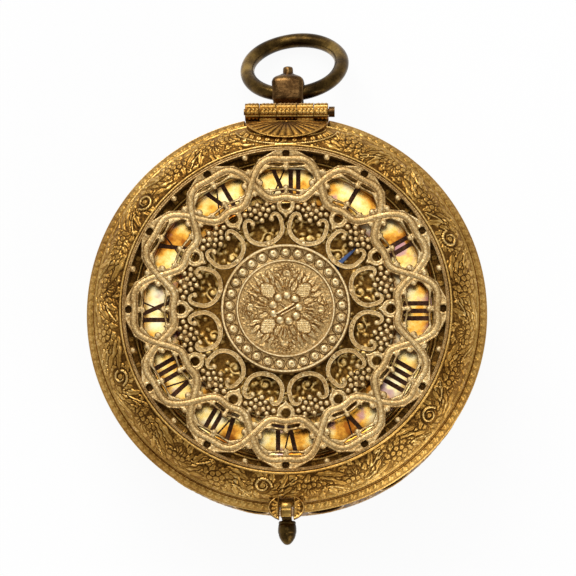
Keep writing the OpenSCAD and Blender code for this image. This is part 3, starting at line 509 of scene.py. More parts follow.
class Kit:  # gathers many small shapes into one mesh
    def __init__(self):
        self.points, self.faces, self.tone = [], [], []

    def take(self, points, faces, tone=0.75):
        first = sum(len(p) for p in self.points)
        points = np.asarray(points, float)
        self.points.append(points)
        self.faces += [[k + first for k in face] for face in faces]
        self.tone.append(np.broadcast_to(tone, len(points)))

    def strand(self, path, widths, bottom, top, section, tone=(0.15, 0.9)):
        # a section of (across, up) swept along a level path, from its left foot over to its right
        path = np.asarray(path, float)
        along = np.gradient(path, axis=0)
        along /= np.maximum(np.hypot(along[:, 0], along[:, 1]), 1e-9)[:, None]
        left = np.stack([-along[:, 1], along[:, 0]], 1)
        widths = np.broadcast_to(widths, len(path))
        bottom, top = (np.broadcast_to(v, len(path)) for v in (bottom, top))
        section = np.asarray(section, float)
        flat = path[:, None, :] + left[:, None, :] * section[None, :, 0, None] * widths[:, None, None] / 2
        z = bottom[:, None] + (top - bottom)[:, None] * section[None, :, 1]
        points = np.concatenate([flat, z[:, :, None]], 2).reshape(-1, 3)
        n, m = len(path), len(section)
        low, high = tone
        # the tone rises from the foot to the top of the section: painted shade at the foot of each strand
        self.take(points, quads(n, m) + caps(n, m), np.tile(low + (high - low) * section[:, 1]**1.5, n))

    def spun(self, x, y, profile, cols=20, tone=0.7, closed=True):  # a profile of (r, z) turned at a point
        faces = quads(len(profile), cols, aroundRows=closed)
        if not closed:
            faces += caps(len(profile), cols)
        self.take(turned(profile, cols, x, y), faces, np.repeat(np.broadcast_to(tone, len(profile)), cols))

    def ball(self, x, y, z, r, flat=1.0):
        points, faces = Kit.globe
        height = points[:, 2] * 0.5 + 0.5
        # painted shade towards the foot of each ball and a painted highlight on its top
        self.take(points * (r, r, r * flat) + (x, y, z), faces, 0.12 + 0.88 * height**1.8)

    def made(self, name, body, finish, hides=(), smooth=True):
        return piece(name, np.concatenate(self.points), self.faces, body, finish, hides,
                     np.concatenate(self.tone), smooth)


def globe(rings, cols):  # a small ball of quads with closed poles
    points = [(0, 0, 1)]
    for i in range(1, rings):
        t = math.pi * i / rings
        points += [(math.sin(t) * math.sin(tau * k / cols), math.sin(t) * math.cos(tau * k / cols), math.cos(t))
                   for k in range(cols)]
    points.append((0, 0, -1))
    faces = [[0, 1 + (k + 1) % cols, 1 + k][::-1] for k in range(cols)]
    faces += quads(rings - 1, cols, first=1)
    last = len(points) - 1
    faces += [[last, last - cols + k, last - cols + (k + 1) % cols][::-1] for k in range(cols)]
    return np.array(points, float), faces


Kit.globe = globe(5, 9)


# geometry nodes

class Grower(Bench):  # builds one Geometry Nodes tree with named inputs
    def __init__(self, name, **inputs):
        super().__init__(bpy.data.node_groups.new(name, "GeometryNodeTree"))
        self.tree.is_modifier = True
        face = self.tree.interface
        face.new_socket("Geometry", in_out="INPUT", socket_type="NodeSocketGeometry")
        for key, value in inputs.items():
            kind = {int: "NodeSocketInt", float: "NodeSocketFloat"}.get(type(value), "NodeSocketMaterial")
            socket = face.new_socket(key, in_out="INPUT", socket_type=kind)
            if value is not None:
                socket.default_value = value
        face.new_socket("Geometry", in_out="OUTPUT", socket_type="NodeSocketGeometry")
        self.source = self.tree.nodes.new("NodeGroupInput")

    def given(self, name):
        return Wire(self, self.source.outputs[name])

    def finish(self, geometry):
        real = self.add("GeometryNodeRealizeInstances", {}, {"Geometry": geometry})
        real = self.add("GeometryNodeMergeByDistance", {}, {"Geometry": real, "Distance": 2e-6})
        coated = self.add("GeometryNodeSetMaterial", {}, {"Geometry": real, "Material": self.given("Finish")})
        self.add("NodeGroupOutput", {}, {"Geometry": coated})
        return self.tree


def grow(thing, tree, **values):  # runs a tree on an object and keeps the result as a plain mesh
    modifier = thing.modifiers.new("grown", "NODES")
    modifier.node_group = tree
    for item in tree.interface.items_tree:
        if item.item_type == "SOCKET" and item.in_out == "INPUT" and item.name in values:
            modifier[item.identifier] = values[item.name]
    return applied(thing, modifier)


def repeatTree():  # copies the incoming mesh evenly round Z
    g = Grower("repeatRound", Count=12, Finish=None)
    line = g.add("GeometryNodeMeshLine", {}, {"Count": g.given("Count"), "Offset": (0, 0, 0)})
    turn = g.math("DIVIDE", g.add("GeometryNodeInputIndex") * -tau, g.given("Count"))
    spun = g.add("ShaderNodeCombineXYZ", {}, {"Z": turn})
    return g.finish(g.add("GeometryNodeInstanceOnPoints", {}, {
        "Points": line, "Instance": g.given("Geometry"), "Rotation": spun}))


def weaveTree():  # two closed straps that cross under and over each other round the dial
    g = Grower("wovenBands", Middle=24.95, Swing=4.45, Second=0.05, Third=0.8, Width=1.0, Depth=0.45,
               Height=29.88, Lift=0.06, Ridge=0.05, Taper=0.45, Finish=None)
    wave = g.add("GeometryNodeSplineParameter") * tau
    width, depth, ridge = (g.given(name) * mm for name in ("Width", "Depth", "Ridge"))

    def swept(line, profile, tone):
        strap = g.add("GeometryNodeCurveToMesh", {}, {"Curve": line, "Profile Curve": profile})
        return g.add("GeometryNodeStoreNamedAttribute", {"data_type": "FLOAT", "domain": "POINT"},
                     {"Geometry": strap, "Name": "relief", "Value": tone})

    bar = g.add("GeometryNodeCurvePrimitiveQuadrilateral", {}, {"Width": width, "Height": depth})
    bar = g.add("GeometryNodeFilletCurve", {"mode": "POLY"}, {
        "Curve": bar, "Radius": g.given("Width") * (0.08 * mm), "Count": 1})
    straps = []
    for start in (0, 1):
        circle = g.add("GeometryNodeCurvePrimitiveCircle", {}, {"Resolution": 720})
        first, second, third = ((wave * k).math("COSINE") for k in (6, 12, 18))
        r = (g.given("Middle") + first * g.given("Swing") + second * g.given("Second")
             - third * g.given("Third")) * mm
        angle = wave + start * tau / 12
        z = (g.given("Height") - (wave * 6).math("SINE") * g.given("Lift")) * mm
        at = g.add("ShaderNodeCombineXYZ", {}, {
            "X": r * angle.math("SINE"), "Y": r * angle.math("COSINE"), "Z": z})
        moved = g.add("GeometryNodeSetPosition", {}, {"Geometry": circle, "Position": at})
        level = g.add("GeometryNodeSetCurveNormal", {"mode": "Z_UP"}, {"Curve": moved})
        slim = 1.0 - first.math("MAXIMUM", 0.0).math("POWER", 6) * g.given("Taper")
        level = g.add("GeometryNodeSetCurveRadius", {}, {"Curve": level, "Radius": slim})
        # the straps take a mid tone and their ridge cords a lighter one, as a painted highlight along the ridges
        straps.append(swept(level, bar, 0.78))
        for side in (-0.5, 0.5):
            cord = g.add("GeometryNodeCurvePrimitiveCircle", {}, {"Resolution": 6, "Radius": ridge})
            off = g.add("ShaderNodeCombineXYZ", {}, {
                "X": (width - g.given("Ridge") * (2 * mm)) * side, "Y": depth * 0.5})
            cord = g.add("GeometryNodeTransform", {}, {"Geometry": cord, "Translation": off})
            straps.append(swept(level, cord, 0.92))
    return g.finish(g.add("GeometryNodeJoinGeometry", {}, {"Geometry": straps[::-1]}))


repeatRound = repeatTree()
wovenBands = weaveTree()
print("tools ready")
# finishes of the pieces

chased = chasedGilt("chasedGilt", {
    "grain": 2.4, "speckScale": 2.6, "speck": 0.8, "marks": 0.08, "cloud": 0.6, "patches": 0.5,
    "blotch": (0.74, 0.62, 0.42), "depth": 0.035, "rough": 0.42,
    "stops": [(0.0, (0.035, 0.015, 0.003)), (0.25, (0.15, 0.066, 0.012)), (0.5, (0.35, 0.177, 0.034)),
              (0.78, (0.59, 0.342, 0.083)), (1.0, (0.81, 0.55, 0.20))]})
pale = chasedGilt("paleGilt", {
    "grain": 3.0, "speckScale": 2.4, "speck": 1.0, "marks": 0.22, "cloud": 0.45, "patches": 0.35,
    "blotch": (0.80, 0.66, 0.46), "depth": 0.045, "rough": 0.52,
    "stops": [(0.0, (0.040, 0.018, 0.004)), (0.25, (0.18, 0.090, 0.025)), (0.5, (0.40, 0.240, 0.084)),
              (0.8, (0.65, 0.455, 0.20)), (1.0, (0.85, 0.675, 0.38))]})


def dialGold(name, look):  # burnished gold in patches of orange, brown, violet and pale gold, partly tarnish and partly painted reflections
    b = Finish(name)
    blotch = b.noise(look["blotchScale"], 4.0, 0.6, (0.3, 0.1, 0.5))
    violet = b.noise(look["violetScale"], 3.0, 0.5, (0.1, 0.7, 0.2))
    colour = b.ramp(blotch, look["stops"])
    colour = b.mixed(violet.between(0.56, 0.68) * look["violet"], colour, look["tint"])
    # darker where the relief tone is low: painted shade and a painted reflection of the fret along the edges of
    # the chapter ring
    colour = b.mixed((1 - b.attribute("relief")) * look["edge"], colour, look["dark"], "MULTIPLY")
    fine = b.noise(1.4, 3.0, 0.6)
    rough = (look["rough"] + (blotch - 0.5) * 0.25 + (fine - 0.5) * 0.08).held(0.08, 0.8)
    return b.metal(colour, rough, fine, look["depth"])


dialFinish = dialGold("burnishedGold", {
    "blotchScale": 0.17, "violetScale": 0.23, "violet": 0.8, "tint": (0.42, 0.22, 0.26), "edge": 1.0,
    "dark": (0.30, 0.13, 0.03), "depth": 0.012, "rough": 0.26,
    "stops": [(0.34, (0.30, 0.09, 0.010)), (0.44, (0.76, 0.36, 0.045)), (0.53, (0.94, 0.66, 0.20)),
              (0.68, (0.98, 0.87, 0.56))]})

bronze = plainGilt("oldBronze", {
    "cloudScale": 0.16, "speckScale": 2.4, "speck": 0.35, "brush": (0.5, 0.5, 0.5), "depth": 0.02, "rough": 0.30,
    "stops": [(0.15, (0.012, 0.007, 0.003)), (0.4, (0.052, 0.029, 0.008)), (0.62, (0.125, 0.072, 0.018)),
              (0.9, (0.34, 0.21, 0.055))]})
knobGilt = plainGilt("knobGilt", {
    "cloudScale": 0.22, "speckScale": 2.2, "speck": 0.5, "brush": (0.8, 3.0, 0.8), "depth": 0.03, "rough": 0.28,
    "stops": [(0.15, (0.018, 0.008, 0.003)), (0.42, (0.070, 0.034, 0.011)), (0.62, (0.15, 0.078, 0.026)),
              (0.95, (0.40, 0.25, 0.090))]})
smoothGilt = plainGilt("smoothGilt", {
    "cloudScale": 0.12, "speckScale": 2.6, "speck": 0.5, "brush": (0.6, 0.6, 3.0), "depth": 0.02, "rough": 0.30,
    "stops": [(0.05, (0.14, 0.066, 0.012)), (0.4, (0.38, 0.22, 0.05)), (0.7, (0.62, 0.41, 0.12)),
              (0.95, (0.80, 0.60, 0.24))]})
# the rim of the lid, chased all over

rim = {"ring": 33.7, "step": 0.125, "height": 0.30, "bends": 24, "seed": 11, "teeth": 420}


def foliage(sheet, height, low, high, bends, seed):
    # by turns a spiral, a group of rosettes and a spray, with long leaves between, over a leafy ground
    rng = random.Random(seed)
    room, mid = high - low, (low + high) / 2
    pitch, reach = sheet.length / bends, room * 0.3

    def leaf(spot, turn, long, wide, tall, lobes=3, curl=0.0):
        sheet.leaf(*spot, turn, long * rng.uniform(0.85, 1.15), wide * rng.uniform(0.85, 1.15),
                   height * tall * rng.uniform(0.85, 1.0), lobes, curl)

    for n in range(int(sheet.length * room / 1.5)):
        leaf((rng.uniform(0, sheet.length), rng.uniform(low + 0.2, high - 0.2)), rng.uniform(0, tau), 1.8, 0.8,
             0.4, 2, rng.uniform(-0.4, 0.4))
    for k in range(bends):
        up = 1 if k % 2 else -1
        x0, y0 = (k + 0.5 + rng.uniform(-0.06, 0.06)) * pitch, mid + up * room * 0.1
        for n in range(4):  # long leaves that sweep past on both sides
            for way in (1, -1):
                leaf((x0 + way * (pitch * 0.12 + 0.4 * n), mid - up * room * (0.44 - 0.13 * n)),
                     math.atan2(up * (0.15 + 0.25 * n), way), pitch * (0.72 - 0.07 * n), 1.5, 1.0, 3,
                     way * up * (0.10 + 0.05 * n))
        sheet.stem(bent((x0 - pitch * 0.75, mid + up * room * 0.42), (x0 - pitch * 0.45, mid + up * room * 0.1),
                        (x0 - reach, y0), (x0 - reach * 0.8, y0 - up * reach * 0.7)),
                   [0.35] * 18 + [0.6], height * 0.9)
        for n in range(9):
            a = tau * n / 9 + rng.uniform(-0.2, 0.2)
            leaf((x0 + math.cos(a) * reach * 0.95, y0 + math.sin(a) * reach * 0.95), a - up * 1.0, 2.3, 1.15,
                 0.9, 3, -0.15 * up)
        sheet.berry(x0, y0, reach * 0.98, height * 0.35)
        if k % 4 == 0:
            sheet.stem(volute((x0, y0), reach, reach * 0.2, 180, -1.6 * up, 20), 0.55, height)
            sheet.berry(x0, y0, 0.5, height, 0.45)
        elif k % 4 == 1:
            sheet.berry(x0, y0, 0.62, height, 0.45)
            for n in range(7):
                a = tau * n / 7 + 0.2
                sheet.berry(x0 + 1.25 * math.cos(a), y0 + 1.25 * math.sin(a), 0.52, height * 0.95, 0.45)
        else:
            for n in range(7):
                leaf((x0, y0 - up * 0.9), up * tau / 4 + 0.42 * (n - 3), 2.4, 0.8, 1.0, 2)
            for n in range(4):
                sheet.berry(x0 + 0.9 * (n - 1.5), y0 - up * (0.9 + 0.25 * (n % 2)), 0.5, height, 0.5)


def halfMoon(sheet, height):  # two arcs with a row of leaves, under the strap of the hinge
    x, y = np.meshgrid(np.arange(sheet.nx) * sheet.dx, np.arange(sheet.ny) * sheet.dy)
    x = np.where(x > sheet.length / 2, x - sheet.length, x)
    inside = (x / 9.2)**2 + ((y - 5.2) / 4.75)**2 < 1
    sheet.high = np.where(inside, 0.02, sheet.high)
    for n in range(-6, 7):
        t = math.radians(270 + 14 * n)
        way = math.atan2(0.55 * math.sin(t), math.cos(t)) + (0.5 if n < 0 else -0.5)
        sheet.leaf(7.3 * math.cos(t), 5.2 + 3.3 * math.sin(t), way, 2.5, 1.15, height * 0.95, 2)
    t = np.radians(np.linspace(180, 360, 80))
    sheet.stem(np.stack([9.2 * np.cos(t), 5.2 + 4.7 * np.sin(t)], 1), 0.42, height)
    sheet.stem(np.stack([7.1 * np.cos(t), 5.2 + 3.05 * np.sin(t)], 1), 0.3, height * 0.8)


def makeRim():
    line = np.concatenate([[(31.02, 30.13)], oval(29.5, 22.5, 7.5, 7.78, 77.5, 25, 60),
                           [(36.30, 25.3), (36.30, 24.12)]])
    run = np.hypot(*np.diff(line, axis=0).T).sum()
    sheet = Sheet(tau * rim["ring"], run, rim["step"], wraps=True)
    h = rim["height"]
    sheet.pit(rim["seed"], 0.5, 0.08)
    sheet.groove = 0.12
    foliage(sheet, h * 0.85, 0.7, run - 2.3, rim["bends"], rim["seed"])
    halfMoon(sheet, h * 0.8)
    sheet.groove = 0.0
    sheet.band(0.30, 0.42, h * 0.7)
    sheet.band(run - 2.25, 0.30, h * 0.7)
    sheet.band(run - 1.80, 0.22, h * 0.45)
    for n in range(rim["teeth"]):
        x = n * sheet.length / rim["teeth"]
        sheet.stem([(x, run - 1.5), (x + 0.3, run - 0.95)], 0.26, h * 0.18)
    back = [(35.32, 24.12), *oval(29.5, 22.5, 6.6, 6.9, 28, 78, 20), (30.32, 28.82), (30.32, 29.42),
            (31.02, 29.42)]
    thing = reliefRing("lidRim", line, back, sheet, h, "lid", chased, ["lid_rim"])
    # a slot for the catch, and a worn outer edge
    pressIn(thing, lambda x, y, z: np.where((np.abs(x) < 1.35) & (y < 0), -35.6 / np.minimum(y, -1), 1.0))
    brightenTone(thing, lambda x, y, z: 0.35 * np.clip((np.hypot(x, y) - 34.2) / 1.2, 0, 1))


makeRim()
print("rim of the lid made")


# the pierced fret

fret = {"low": 29.45, "top": 30.1, "band": 1.75, "strap": 1.15, "hole": 0.7, "holeRow": 29.72, "loop": 0.86,
        "step": 0.455, "middle": 24.95, "swing": 4.45, "second": 0.05, "third": 0.8}
bordered = [(1, 0), (1, 0.86), (0.9, 1.0), (0.66, 1.0), (0.55, 0.86), (0, 0.84), (-0.55, 0.86), (-0.66, 1.0),
            (-0.9, 1.0), (-1, 0.86), (-1, 0)]
grapes = [(0, 17.4), (0.95, 18.15), (0, 18.75), (1.75, 19.1), (0.75, 19.6), (2.75, 19.25), (1.6, 20.25), (0, 20.5)]


def bandRadius(a):  # of a woven band, a degrees from where it lies furthest out
    w = np.radians(6 * np.asarray(a, float))
    return (fret["middle"] + fret["swing"] * np.cos(w) + fret["second"] * np.cos(2 * w)
            - fret["third"] * np.cos(3 * w))


def bandPath(a, start):
    return [spin(r, k) for k, r in zip(a, bandRadius(a + start))]


def beside(x, y):  # a point given beside the line halfway between two hours
    c, s = math.cos(math.radians(15)), math.sin(math.radians(15))
    return x * c + y * s, y * c - x * s


def makeFretPlate():
    cols = int(round(30 / fret["step"])) + 1
    plate = Plate(np.radians(np.linspace(-15, 15, cols)), np.linspace(15.9, 30.72, 82),
                  lambda a, r: (r * np.sin(a), r * np.cos(a)), np.radians([-30, 0, 30]))
    a = np.arange(-16, 16.1, 2)
    for start in (0, 30):
        plate.strand(bandPath(a, start), fret["band"], False)
    strands = [  # the boss of the hour, with its hooks
        ([spin(r, k) for k, r in ((0, 29.95), (3, 29.8), (5, 29.35), (7.7, 28.95), (9.6, 28.55))],
         [1.8, 1.6, 1.5, 1.1, 1.3]),
        ([(0, 29.4), (0, 28.2), (0, 27.2)], [2.2, 1.1, 0.9]), ([(0, 27.1), (0, 27.05)], 1.15),
        ([(0.2, 27.3), (1.1, 27.1), (2.2, 27.2), (3.4, 27.25), (4.2, 26.9), (4.9, 26.2)],
         [0.5, 0.42, 0.42, 0.6, 1.0, 0.8]),
        # lobes where the bands part
        ([spin(24.65, 11.7), spin(24.8, 15)], [1.35, 1.5]), ([spin(27.05, 15), spin(25.0, 15)], [1.25, 2.2]),
        ([spin(29.95, 15), spin(30.8, 15)], [1.25, 1.0]), ([spin(24.4, 15), spin(22.7, 15)], [2.4, 1.0]),
        # the foot of the window
        ([spin(21.3, k) for k in np.arange(-9, 9.1, 1.5)], 1.5, False),
        ([(3.1, 22.1), (3.25, 23.1)], [1.0, 0.12]), ([(0, 23.2), (0, 23.15)], 1.1),
        ([(0, 23.2), (0, 21.3)], [0.6, 0.8]),
        ([(0, 22.95), (1.4, 22.8), (2.4, 22.6), (3.7, 22.35)], [0.3, 0.45, 0.45, 1.0]),
        # the loop under the hour
        ([(0, 19.85), (0, 19.8)], 3.6), ([(0, 19.0), (0, 17.6)], [2.2, 0.5])]
    for one in strands:
        plate.strand(*one)
    body = plate.solid.copy()
    for x, y in grapes:
        plate.strand([beside(x, y), beside(x, y + 0.05)], 1.1)
    plate.strand([beside(0, 19.7), beside(0, 21.2)], [2.0, 0.5])
    plate.opening([(0, fret["holeRow"]), (0, fret["holeRow"] + 0.01)], fret["hole"] * 2)
    plate.opening([(0, 19.85), (0, 19.86)], fret["loop"] * 2)
    deep = plate.solid
    strap = np.max([plate.inside(bandPath(a, start), fret["strap"], False) for start in (0, 30)], axis=0)
    border = np.exp(-((deep - 0.24) / 0.11)**2)
    under = np.clip(-body / 0.15, 0, 1)
    z = fret["top"] + 0.09 * border - 0.1 * np.clip(1 - deep / 0.12, 0, 1) - 0.22 * under
    z = z - 0.18 * np.clip(strap / 0.2 + 0.5, 0, 1)
    # painted highlight along the raised border lines; painted shade along the cut edges, under the grapes and in a
    # line beside each woven strap
    tone = 0.72 + 0.26 * border - 0.3 * np.clip(1 - deep / 0.14, 0, 1) - 0.3 * under
    tone = tone - 0.25 * np.exp(-(strap / 0.12)**2)
    top, bottom = (np.stack([plate.x, plate.y, h + 0 * z], -1) for h in (z, fret["low"]))
    points, faces, tones = plate.skin(top, bottom, tone, seams=True)
    return piece("fretPlate", points, faces, None, pale, (), tones)


def makeHourKit():  # what stands on the plate at an hour
    kit = Kit()
    top = fret["top"]
    r = fret["hole"] + 0.02
    # a disc at the foot of the pin hole with tone 0, as painted shade in the hole
    kit.spun(0, fret["holeRow"], [(0.02, 29.6), (0.5, 29.6), (r, 29.6), (r, 29.5), (0.02, 29.5)], 18, 0.0)
    kit.ball(0, 27.05, top - 0.05, 0.52, 0.5)
    kit.ball(0, 23.2, top - 0.05, 0.5, 0.5)
    for flip in (1, -1):
        kit.ball(*spin(24.6, 11.5 * flip), top - 0.05, 0.6, 0.5)
    return kit.made("fretHours", None, pale)


def makeBetween():  # the scroll, grapes and beads between two hours
    kit = Kit()
    low, top = fret["low"], fret["top"]
    t = np.radians(np.linspace(-90, 2, 16))
    main = np.stack([3.48 * np.cos(t), 15.75 + 2.85 * np.sin(t)], 1)
    hook = bent((3.50, 16.35), (3.46, 17.1), (3.15, 17.85), (2.55, 18.12), (1.98, 17.8), (1.85, 17.3), steps=4)
    path = np.concatenate([main, hook])
    widths = np.interp(np.linspace(0, 1, len(path)), [0, 0.1, 0.55, 0.9, 1], [1.0, 0.86, 0.82, 0.62, 0.5])
    for flip in (1, -1):
        kit.strand(path * (flip, 1), widths, low, top + 0.1, bordered)
        kit.ball(flip * path[-1][0], path[-1][1], top - 0.05, 0.55, 0.5)
    for y, drop, r, flat in ((12.85, 0.1, 0.6, 0.5), (29.95, 0.05, 0.58, 0.6), (27.05, 0.1, 0.58, 0.5),
                             (22.8, 0.1, 0.5, 0.5)):
        kit.ball(0, y, top - drop, r, flat)
    rng = random.Random(5)
    for x, y in grapes:
        for flip in (1, -1) if x else (1,):
            kit.ball(flip * x + rng.uniform(-0.08, 0.08), y + rng.uniform(-0.08, 0.08),
                     top - 0.14 + rng.uniform(-0.1, 0.06), rng.uniform(0.5, 0.63), 0.8)
    thing = kit.made("fretBetween", None, pale)
    thing.data.transform(Matrix.Rotation(-math.radians(15), 4, "Z"))
    return thing


for thing in (makeFretPlate(), makeHourKit(), makeBetween()):
    settle(grow(thing, repeatRound, Count=12, Finish=pale), "lid")
bands = grow(piece("fretBands", [(0, 0, 0)], [], None, pale), wovenBands, Finish=pale, Middle=fret["middle"],
             Swing=fret["swing"], Second=fret["second"], Third=fret["third"])
settle(bands, "lid", ["lid_fret"])
lathe("fretEdge", [(30.98, 29.42), (30.3, 29.45), (30.3, 30.15), (30.4, 30.36), (30.5, 30.34), (30.62, 30.18),
                   (30.7, 30.18), (30.8, 30.38), (30.9, 30.36), (30.98, 30.2)], "lid", pale, 288)
print("fret made")


# the medallion

medallion = {"base": 30.30, "beads": 29, "beadRow": 10.65, "field": 9.0, "height": 0.55}


def medallionSheet():
    r = medallion["field"]
    sheet = Sheet(2 * r, 2 * r, 0.09, corner=(-r, -r))
    sheet.pit(3, 0.35, 0.10)
    h = medallion["height"]
    sheet.groove = 0.10
    rng = random.Random(12)
    for n in range(110):  # small leaves fill the ground
        x0, y0 = spin(rng.uniform(2.5, 8.6), rng.uniform(0, 360))
        sheet.leaf(x0, y0, math.atan2(y0, x0) + rng.uniform(-0.7, 0.7), rng.uniform(1.6, 2.6),
                   rng.uniform(0.7, 1.0), h * rng.uniform(0.3, 0.5), 2, rng.uniform(-0.3, 0.3))
    for k in range(8):  # long leaves out of the middle
        a = 45 * k + 22.5
        for side in (-1, 1):
            x0, y0 = spin(3.2, a + side * 5)
            sheet.leaf(x0, y0, math.radians(90 - a - side * 9), 4.9, 1.5, h * 0.7, 3, -0.10 * side)
    for k in range(4):  # a cross-hatched leaf towards each corner, with lobes beside it
        a = 45 + 90 * k
        turn = math.radians(90 - a)
        for n, side in ((2, -1), (2, 1), (1, -1), (1, 1), (0, -1), (0, 1)):
            x0, y0 = spin(4.3 + 0.6 * n, a + side * (6 + 5 * n))
            sheet.leaf(x0, y0, turn - side * math.radians(10 + 17 * n), 3.8 - 0.4 * n, 1.55,
                       h * (0.8 - 0.05 * n), 2, -0.08 * side)
        for n in (-3, 3, -2, 2, -1, 1, 0):
            x0, y0 = spin(5.6 - 0.2 * abs(n), a + n * 9)
            sheet.leaf(x0, y0, turn - math.radians(n * 13), 3.0, 1.15, h * 0.9, 1)
        cx, cy = spin(4.75, a)
        spot, x, y = sheet.window((cx - 2, cy - 2), (cx + 2, cy + 2))
        u = (x - cx) * math.cos(turn) + (y - cy) * math.sin(turn)
        v = -(x - cx) * math.sin(turn) + (y - cy) * math.cos(turn)
        heart = (np.abs(u) / 1.7)**1.5 + (np.abs(v) / 1.3)**1.5
        hatch = np.maximum(np.cos(tau * (u + v) / 0.5), np.cos(tau * (u - v) / 0.5))
        field = h * (0.80 - 0.25 * np.clip(hatch, 0, 1))
        sheet.high[spot] = np.where(heart < 1, field, np.where(heart < 1.2, 0.1, sheet.high[spot]))
    for k in range(4):  # a blossom of nested petals towards each quarter
        a = 90 * k + 1.5
        cx, cy = spin(6.6, a)
        turn = math.radians(90 - a)
        for far, count, spread, size in ((1.05, 9, 24, 1.3), (0.45, 7, 26, 1.25)):
            for n in range(count):
                t = turn + math.radians(spread * (n - (count - 1) / 2))
                sheet.leaf(cx + math.cos(t) * far, cy + math.sin(t) * far, t, size, 1.0,
                           h * (0.8 + 0.1 * (far < 1)), 1)
        sheet.berry(cx, cy, 0.8, h * 0.9, 0.5)
        for side in (-1, 1):
            for n in range(3):
                x0, y0 = spin(3.4, a + side * (4 + 6 * n))
                sheet.leaf(x0, y0, turn - side * math.radians(6 + 14 * n), 2.8 - 0.2 * n, 1.1, h * 0.75, 2,
                           0.1 * side)
    for n in range(9):  # the fruits round the middle
        x0, y0 = spin(2.45, 40 * n + 6)
        sheet.berry(x0, y0, 0.84, h * 1.0)
    sheet.stem([(-1.5, -0.95), (1.5, 0.85)], 0.5, h * 1.0)
    sheet.stem([(-0.9, -1.25), (1.7, 0.2)], 0.4, h * 0.95)
    sheet.stem([(-0.9, 0.75), (0.3, -0.1)], 0.35, h * 0.85)
    return sheet


def makeMedallion():
    base = medallion["base"]
    sheet = medallionSheet()
    field = np.arange(0.12, medallion["field"] - 0.1, 0.115)
    rows = [(r, base + 0.52) for r in field]
    rows += [(8.86, base + 0.55), (8.92, base + 0.80), (9.02, base + 0.93), (9.24, base + 0.93),
             (9.34, base + 0.80), (9.44, base + 0.46), (9.6, base + 0.42), (11.5, base + 0.42),
             (11.62, base + 0.48), (11.72, base + 0.78), (11.84, base + 0.92), (12.12, base + 0.92),
             (12.24, base + 0.76), (12.28, base + 0.3), (12.3, base - 0.1), (12.3, base - 0.85),
             (0.12, base - 0.85)]
    cols = 360
    angle = tau * np.arange(cols) / cols
    r = np.array([row[0] for row in rows])[:, None] + 0 * angle
    z = np.array([row[1] for row in rows])[:, None] + 0 * angle
    tone = np.full(r.shape, 0.62)
    x, y = r * np.sin(angle), r * np.cos(angle)
    n = len(field)
    fade = np.clip((8.85 - r[:n]) / 0.4, 0, 1)
    z[:n] += sheet.at(sheet.high, x[:n], y[:n]) * fade
    tone[:n] = 0.52 + 0.48 * sheet.at(sheet.surfaceTone(medallion["height"]), x[:n], y[:n])
    # the rims are darker on their walls as painted shade and lightest on their tops
    tone[n:] = np.interp(z[n:], [base + 0.4, base + 0.7, base + 0.92], [0.68, 0.6, 1.0])
    points = np.stack([x, y, z], -1).reshape(-1, 3)
    faces = quads(len(rows), cols) + caps(len(rows), cols)
    return piece("medallionPlate", points, faces, "lid", pale, ["lid_medallion"], tone)


makeMedallion()
kit = Kit()
row = medallion["beadRow"]
# each bead is lightest on top and dark at its foot and on its collar, as painted shade
kit.spun(0, row, [(0.08, 31.08), (0.28, 31.17), (0.58, 31.14), (0.72, 31.02), (0.78, 30.85), (0.8, 30.6)], 14,
         [0.6, 1.0, 1.0, 0.9, 0.35, 0.2], closed=False)
kit.spun(0, row, [(1.13, 30.68), (1.13, 30.82), (1.05, 30.88), (0.96, 30.82), (0.96, 30.68)], 16, 0.3)
bead = grow(kit.made("medallionBeads", None, pale), repeatRound, Count=medallion["beads"], Finish=pale)
settle(bead, "lid")
print("medallion made")


# the dial

dial = {"ring": (20.42, 27.58), "face": 26.8, "leaves": 72, "seed": 21}


